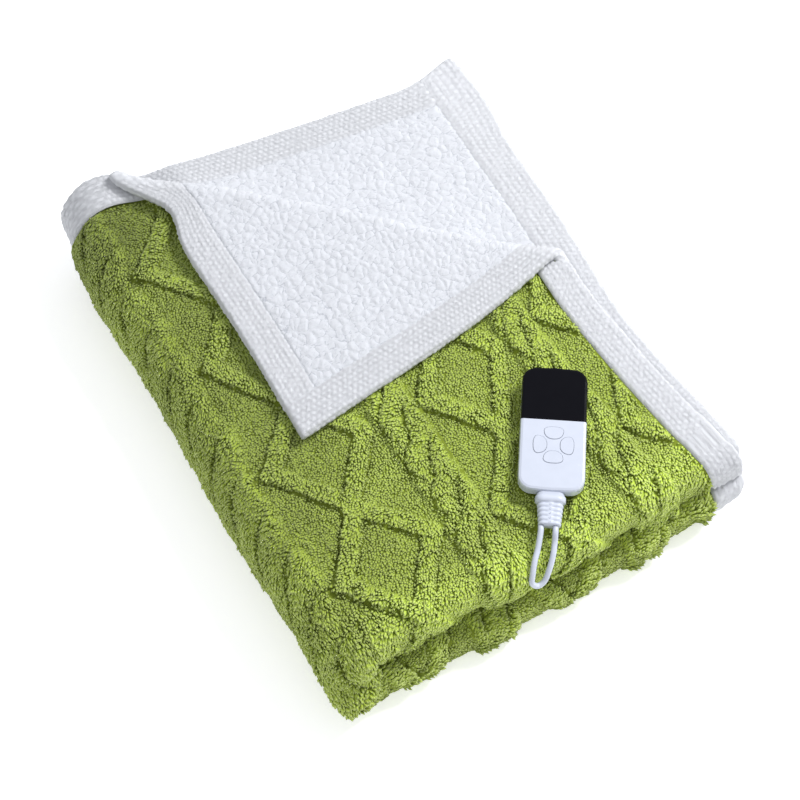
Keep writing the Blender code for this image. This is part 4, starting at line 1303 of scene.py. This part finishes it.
def pile_patch(name, across, along):
    """A stretch of the plush cloth that carries what its pile needs at every point."""
    u, v = grid(across, along)
    flat = np.stack((u, v, plush_height(u, v)), axis=1)
    points = folded(flat)
    quads = grid_quads(np.arange(len(u)).reshape(len(along), len(across))).reshape(-1, 4)
    shown = showing(u, v)
    kept = quads[shown[quads].max(axis=1) > 0.02]
    obj = new_object(name, points, kept.tolist(), None)
    _, raised, groove = pattern(u, v)
    across_way, along_way, _ = ways(flat)
    swing = 0.75 + 0.55 * wobble(u + 0.4 * v, 0.021, 0.3) + 0.45 * wobble(v, 0.033, 1.1)
    steps = ((PATTERN_STEP, 0), (0, PATTERN_STEP))
    slope = [pattern(u - du, v - dv)[2] - pattern(u + du, v + dv)[2] for du, dv in steps]
    steep = np.hypot(*slope)
    parted = np.clip(steep / 0.2, 0, 1)
    lean = (1.3 + 0.1 * raised) * (1 - 0.9 * parted)
    turned = [part / np.maximum(steep, 1e-6) * parted * PARTING for part in slope]
    flow = (lean * np.cos(swing) + turned[0])[:, None] * across_way
    flow = flow + (lean * np.sin(swing) + turned[1])[:, None] * along_way
    away = near_control(points)
    ragged = shaggy(points)
    clear = smooth(*CASE_CLEAR, away)
    cover = (1 - 0.92 * smooth(0.35, 0.9, groove)) * smooth(0.1, 0.6, shown) * clear
    growth = (0.70 + 0.38 * raised) * (1 - 0.45 * groove) * (0.62 + 0.38 * smooth(0, CASE_TRIM, away))
    growth = growth * (0.45 + 0.55 * shown) * (1 + 0.75 * ragged)
    tousle = 0.4 + 0.5 * raised + 0.9 * ragged
    # The front rim gets longer pile and a painted sheen highlight
    rim = bump(v, TOP_END + FRONT_RIM[0], FRONT_RIM[1]) * (u < FLAT_ACROSS)
    growth = growth * (1 + 0.3 * rim)
    # Painted light and shade: lighter on raised bands, painted shade in the grooves, a painted highlight on
    # the front rim, and the broad painted light and shade over the cloth
    shade = 0.5 + 0.13 * raised - 0.30 * groove + 0.34 * rim + lie_of_pile(u, v, points)
    for label, values in (("cover", cover), ("growth", growth), ("tousle", tousle), ("shade", shade)):
        store(obj.data, label, "FLOAT", values)
    store(obj.data, "flow", "FLOAT_VECTOR", flow)
    return obj


def make_pile(settings):
    """The plush pile on every stretch of the face cloth that shows."""
    tree = pile_tree()
    tuft = tuft_object()
    step, bend_step, back_step = 0.0018, 0.001, 0.004
    middle = 0.175
    whole = (BINDING_WIDTH, CLOTH_WIDTH - BINDING_WIDTH)
    top = lines((BINDING_WIDTH, TOP_END), step)
    front = lines((TOP_END, FRONT_END + FRONT_PILE), bend_step)
    patches = [
        ("pile_top_right", lines((BINDING_WIDTH, middle), step), top),
        ("pile_top_left", lines((middle, FLAT_ACROSS), step), top),
        ("pile_side", lines((FLAT_ACROSS, SIDE_END), bend_step), top),
        ("pile_front", lines(whole, step), front),
        ("pile_back", lines(whole, back_step), lines((FOURTH_END, BACK_END), bend_step)),
    ]
    made = []
    for seed, (name, across, along) in enumerate(patches, PILE_SEED):
        patch = pile_patch(name, across, along)
        values = {
            "Tuft": tuft,
            "Spacing": settings.tuft_spacing,
            "Tuft Length": settings.tuft_length,
            "Tuft Width": settings.tuft_width,
            "Clump Size": CLUMP_SIZE,
            "Seed": seed,
            "Material": bpy.data.materials["plush pile"],
        }
        made.append(run_nodes(patch, tree, values))
    tuft_mesh = tuft.data
    bpy.data.objects.remove(tuft)
    bpy.data.meshes.remove(tuft_mesh)
    return made


# Controller


def case_matrix():
    """The controller's own frame, whose origin is the middle of its underside."""
    place = Vector((CASE_PLACE.x, CASE_PLACE.y, CASE_FLOOR)) - Vector(FOOTPRINT_CENTRE)
    return Matrix.Translation(place) @ Matrix.Rotation(CASE_TURN, 4, "Z")


def relief_y(distance):
    """A distance from the case's lower end in the case's own frame."""
    return -CASE_SIZE.y / 2 - CASE_END_BOW - PART_GAP - distance


def rounded_ring(half_width, half_height, inset, y):
    """A flat-sided oval across the sleeve's axis, cut in by inset beside the strip down its front."""
    ring = []
    edge = half_width - half_height
    for i in range(SLEEVE_SIDES):
        turn = 2 * math.pi * (i + 0.5) / SLEEVE_SIDES
        reach = half_width * math.cos(turn)
        x = max(-edge, min(edge, 1.3 * reach))
        round_part = max(0.0, abs(reach) - edge / 1.3) / (half_width - edge / 1.3)
        lean = round_part * math.pi / 2
        radius = half_height - inset * float(smooth(STRIP_HALF, STRIP_HALF + STRIP_FLANK, abs(x)))
        side = math.copysign(radius * math.sin(lean), reach)
        ring.append((x + side, y, RELIEF_MIDDLE + math.copysign(radius * math.cos(lean), math.sin(turn))))
    return ring


def tube_faces(first, count, rings):
    """Faces of a closed tube, from its first point: rings of count points, and a flat face at each end."""
    last = first + (rings - 1) * count
    faces = [list(range(first, first + count)), list(range(last, last + count))[::-1]]
    for low in range(first, last, count):
        for i in range(count):
            after = (i + 1) % count
            faces.append((low + i, low + count + i, low + count + after, low + after))
    return faces


def make_sleeve(material):
    """Collar and ribbed sleeve: stepped collar, ribs at both sides and a smooth strip between them."""
    start = Vector(SLEEVE_START)
    finish = Vector(SLEEVE_FINISH)
    sections = [(*row, 0.0) for row in COLLAR]
    for rib in range(SLEEVE_RIBS):
        for part, inset in ((0.04, RIB_DEPTH), (0.26, RIB_DEPTH), (0.36, 0.0), (0.62, -0.0001), (0.90, 0.0)):
            sections.append((*start.lerp(finish, (rib + part) / SLEEVE_RIBS), inset))
    points = []
    for distance, wide, tall, inset in sections:
        points.extend(rounded_ring(wide, tall, inset, relief_y(distance)))
    faces = tube_faces(0, SLEEVE_SIDES, len(sections))
    for i in range(SLEEVE_RIBS):
        distance, _, tall = start.lerp(finish, (i + 0.5) / SLEEVE_RIBS)
        faces.extend(tube_faces(len(points), EYELET_SIDES, len(EYELET_RINGS)))
        for radius, rise in EYELET_RINGS:
            for k in range(EYELET_SIDES):
                turn = 2 * math.pi * k / EYELET_SIDES
                x, y = radius * math.cos(turn), relief_y(distance) + radius * math.sin(turn)
                points.append((x, y, RELIEF_MIDDLE + tall + rise))
    obj = new_object("cord_sleeve", points, faces, material)
    mesh = bmesh.new()
    mesh.from_mesh(obj.data)
    bmesh.ops.recalc_face_normals(mesh, faces=mesh.faces[:])
    mesh.transform(case_matrix())
    mesh.to_mesh(obj.data)
    mesh.free()
    obj.data.shade_smooth()
    return obj


# Cord


def lay_on_cloth(x, reach):
    """A point of the cord's middle resting on the plush, reach in metres past the front bend's start."""
    height = HALF_CLOTH + RELIEF_HEIGHT + CORD_CLEAR + CORD_DIAMETER / 2
    stretch = FRONT_RADIUS / (FRONT_RADIUS + height) if reach > 0 else 1.0
    return Vector(folded([(STACK_RIGHT - x, TOP_END + reach * stretch, height)])[0])


def cord_route():
    """The loop's points, from the sleeve's left hole round to its right hole."""
    exit_y = relief_y(SLEEVE_FINISH[0]) - PART_GAP
    out = case_matrix().to_3x3() @ Vector((0, -CORD_STRAIGHT, 0))
    left, right = [case_matrix() @ Vector((leg, exit_y, RELIEF_MIDDLE)) for leg in CORD_LEGS]
    resting = [lay_on_cloth(x, reach) for x, reach in CORD_REST]
    return [left, left + out, *resting, right + out, right]


def smooth_route(points, per_span):
    """Points of a Catmull-Rom curve through the route."""
    padded = [2 * points[0] - points[1], *points, 2 * points[-1] - points[-2]]
    line = []
    for a, b, c, d in zip(padded, padded[1:], padded[2:], padded[3:]):
        square = 2 * a - 5 * b + 4 * c - d
        cube = 3 * b - a - 3 * c + d
        for step in range(per_span):
            t = step / per_span
            line.append(b + ((c - a) * t + square * t**2 + cube * t**3) / 2)
    return [*line, points[-1]]


def make_cord(diameter):
    """The flexible loop of cord that leaves the sleeve and comes back to it."""
    line = smooth_route(cord_route(), CORD_STEPS)
    curve = bpy.data.curves.new("cord", "CURVE")
    curve.dimensions = "3D"
    curve.bevel_depth = diameter / 2
    curve.bevel_resolution = 5
    curve.use_fill_caps = True
    spline = curve.splines.new("POLY")
    spline.points.add(len(line) - 1)
    spline.use_smooth = True
    for point, place in zip(spline.points, line):
        point.co = (*place, 1)
    length = sum((b - a).length for a, b in zip(line, line[1:]))
    return in_scene("cord", curve), line[0], length


# Settings that a user would change


def length_setting(name, description, default):
    """A setting that is a length."""
    return bpy.props.FloatProperty(name=name, description=description, default=default, unit="LENGTH")


def colour_setting(name, description, default):
    """A setting that is a colour."""
    return bpy.props.FloatVectorProperty(
        name=name, description=description, default=default, subtype="COLOR"
    )


class ClothSettings(bpy.types.PropertyGroup):
    """Plush, fleece and ribbon."""

    tuft_length: length_setting("Tuft Length", "Length of a tuft of pile", PILE_LENGTH)
    tuft_width: length_setting("Tuft Width", "Width of a tuft of pile", PILE_WIDTH)
    tuft_spacing: length_setting("Tuft Spacing", "Least distance between two tufts", PILE_SPACING)
    nub_size: length_setting("Nub Size", "Size of the fleece's curly nubs", 0.0085)
    nub_height: length_setting("Nub Height", "How far the nubs stand up", 0.0013)
    grain_length: length_setting("Grain Length", "Length of a grain of the ribbon", 0.0054)
    grain_width: length_setting("Grain Width", "Width of a grain of the ribbon", 0.0047)
    grain_height: length_setting("Grain Height", "Height of a grain of the ribbon", 0.0013)
    root_colour: colour_setting("Pile Roots", "Colour at the pile's roots", (0.40, 0.52, 0.030))
    pile_colour: colour_setting("Pile", "Colour of the pile", (0.455, 0.58, 0.072))
    tip_colour: colour_setting("Pile Tips", "Colour at the pile's tips", (0.54, 0.625, 0.23))
    fleece_colour: colour_setting("Fleece", "Colour of the fleece", (0.63, 0.645, 0.685))
    ribbon_colour: colour_setting("Ribbon", "Colour of the binding ribbon", (0.61, 0.62, 0.652))


class ControllerSettings(bpy.types.PropertyGroup):
    """Hand controller and its cord."""

    cord_diameter: length_setting("Cord Diameter", "Diameter of the cord", CORD_DIAMETER)
    case_colour: colour_setting("Case", "Colour of the case, keys and cord", (0.53, 0.565, 0.66))
    window_colour: colour_setting("Window", "Colour of the dark window", (0.003, 0.003, 0.005))


class StageSettings(bpy.types.PropertyGroup):
    """Camera, lights and floor."""

    azimuth: bpy.props.FloatProperty(
        name="Azimuth",
        description="Camera's turn round the blanket",
        default=math.radians(-30.3),
        subtype="ANGLE",
    )
    elevation: bpy.props.FloatProperty(
        name="Elevation",
        description="Camera's height as an angle",
        default=math.radians(60),
        subtype="ANGLE",
    )
    distance: bpy.props.FloatProperty(
        name="Distance", description="Camera's distance", default=1.8, subtype="DISTANCE"
    )
    floor_colour: colour_setting("Floor", "Colour of the floor", (0.97, 0.97, 0.97))


# Operators


def stand(obj, place, way):
    """A camera or lamp put at a place, looking along a direction."""
    obj.location = place
    obj.rotation_euler = way.to_track_quat("-Z", "Y").to_euler()


class BLANKET_OT_camera(bpy.types.Operator):
    """Set up the camera"""

    bl_idname = "blanket.camera"
    bl_label = "Camera"

    def execute(self, context):
        settings = context.scene.blanket_stage
        turn, rise = settings.azimuth, settings.elevation
        way = Vector((math.sin(turn) * math.cos(rise), -math.cos(turn) * math.cos(rise), math.sin(rise)))
        data = bpy.data.cameras.new("camera")
        data.lens = CAMERA_LENS
        data.sensor_width = CAMERA_SENSOR
        data.shift_x, data.shift_y = CAMERA_SHIFT
        camera = in_scene("camera", data)
        stand(camera, CAMERA_LOOK + way * settings.distance, -way)
        context.scene.camera = camera
        return {"FINISHED"}


class BLANKET_OT_cord(bpy.types.Operator):
    """Make the controller's loop of cord"""

    bl_idname = "blanket.cord"
    bl_label = "Cord"

    def execute(self, context):
        diameter = context.scene.blanket_controller.cord_diameter
        obj, leaves, length = make_cord(diameter)
        make_materials()
        obj.data.materials.append(bpy.data.materials["cord sheath"])
        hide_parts("cord_loop")
        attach(obj, "blanket")
        return {"FINISHED"}


class BLANKET_OT_cloth(bpy.types.Operator):
    """Make the plush and fleece cloths and their ribbon bindings"""

    bl_idname = "blanket.cloth"
    bl_label = "Cloth and Bindings"

    def execute(self, context):
        settings = context.scene.blanket_cloth
        plush = make_plush()
        fleece = make_fleece()
        tree = nap_tree()
        page_start, page_end = CLOTH_LENGTH - NAP_REACH, CLOTH_LENGTH - BINDING_WIDTH + NAP_OVERLAP
        naps = [
            make_nap("fleece_nap_corner", BINDING_WIDTH - NAP_OVERLAP, NAP_REACH, tree, settings),
            make_nap("fleece_nap_page", page_start, page_end, tree, settings),
        ]
        ribbons = make_bindings(weave_tree(), settings)
        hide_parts("face_panel")
        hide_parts("back_panel")
        for obj in (plush, fleece, *naps, *ribbons):
            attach(obj, "blanket")
        return {"FINISHED"}


class BLANKET_OT_pile(bpy.types.Operator):
    """Make the plush pile"""

    bl_idname = "blanket.pile"
    bl_label = "Pile"

    def execute(self, context):
        for obj in make_pile(context.scene.blanket_cloth):
            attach(obj, "blanket")
        return {"FINISHED"}


class BLANKET_OT_controller(bpy.types.Operator):
    """Finish the controller and make its cord sleeve"""

    bl_idname = "blanket.controller"
    bl_label = "Controller"

    def execute(self, context):
        finishes = [("housing", "gloss moulding"), ("display_window", "dark gloss window")]
        finishes.extend((f"button_{name}", "gloss moulding") for name in ("up", "left", "down", "right"))
        for node, finish in finishes:
            for slot in bpy.data.objects[node].material_slots:
                slot.material = bpy.data.materials[finish]
        sleeve = make_sleeve(bpy.data.materials["satin moulding"])
        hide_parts("strain_relief")
        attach(sleeve, "blanket")
        return {"FINISHED"}


class BLANKET_OT_stage(bpy.types.Operator):
    """Make the floor and the lights"""

    bl_idname = "blanket.stage"
    bl_label = "Floor and Lights"

    def execute(self, context):
        settings = context.scene.blanket_stage
        material, _, shader = new_material("floor", 0.9)
        shader.inputs["Base Color"].default_value = (*settings.floor_colour, 1)
        shader.inputs["Emission Color"].default_value = (*settings.floor_colour, 1)
        shader.inputs["Emission Strength"].default_value = FLOOR_GLOW
        half = FLOOR_HALF
        corners = [(-half, -half, 0), (half, -half, 0), (half, half, 0), (-half, half, 0)]
        floor = new_object("floor", corners, [(0, 1, 2, 3)], material)
        world = bpy.data.worlds.new("studio")
        world.use_nodes = True
        background = world.node_tree.nodes["Background"]
        background.inputs["Color"].default_value = ROOM_COLOUR
        background.inputs["Strength"].default_value = ROOM_STRENGTH
        context.scene.world = world
        context.scene.view_settings.view_transform = "Standard"
        for name, place, size, power in LIGHTS:
            data = bpy.data.lights.new(name, "AREA")
            data.size = size
            data.energy = power
            stand(in_scene(name, data), place, -Vector(place))
        return {"FINISHED"}


class BLANKET_PT_panel(bpy.types.Panel):
    """Everything that makes the blanket"""

    bl_idname = "BLANKET_PT_panel"
    bl_label = "Folded Heated Blanket"
    bl_space_type = "VIEW_3D"
    bl_region_type = "UI"
    bl_category = "Blanket"

    def draw(self, context):
        scene = context.scene
        for settings in (scene.blanket_cloth, scene.blanket_controller, scene.blanket_stage):
            for name in settings.__annotations__:
                self.layout.prop(settings, name)
        for operator in OPERATORS:
            self.layout.operator(operator.bl_idname)


# In the order in which they run
OPERATORS = (
    BLANKET_OT_camera,
    BLANKET_OT_cord,
    BLANKET_OT_cloth,
    BLANKET_OT_pile,
    BLANKET_OT_controller,
    BLANKET_OT_stage,
)
CLASSES = (ClothSettings, ControllerSettings, StageSettings, *OPERATORS, BLANKET_PT_panel)


def register():
    """Make the classes known, and give the scene its settings."""
    for cls in CLASSES:
        bpy.utils.register_class(cls)
    bpy.types.Scene.blanket_cloth = bpy.props.PointerProperty(type=ClothSettings)
    bpy.types.Scene.blanket_controller = bpy.props.PointerProperty(type=ControllerSettings)
    bpy.types.Scene.blanket_stage = bpy.props.PointerProperty(type=StageSettings)


def unregister():
    """Take the settings and the classes away again."""
    del bpy.types.Scene.blanket_stage
    del bpy.types.Scene.blanket_controller
    del bpy.types.Scene.blanket_cloth
    for cls in reversed(CLASSES):
        bpy.utils.unregister_class(cls)


def main():
    """Register the classes and make everything, one operator after another."""
    register()
    bpy.ops.blanket.camera()
    bpy.ops.blanket.cord()
    bpy.ops.blanket.cloth()
    bpy.ops.blanket.pile()
    bpy.ops.blanket.controller()
    bpy.ops.blanket.stage()


if __name__ == "__main__":
    main()
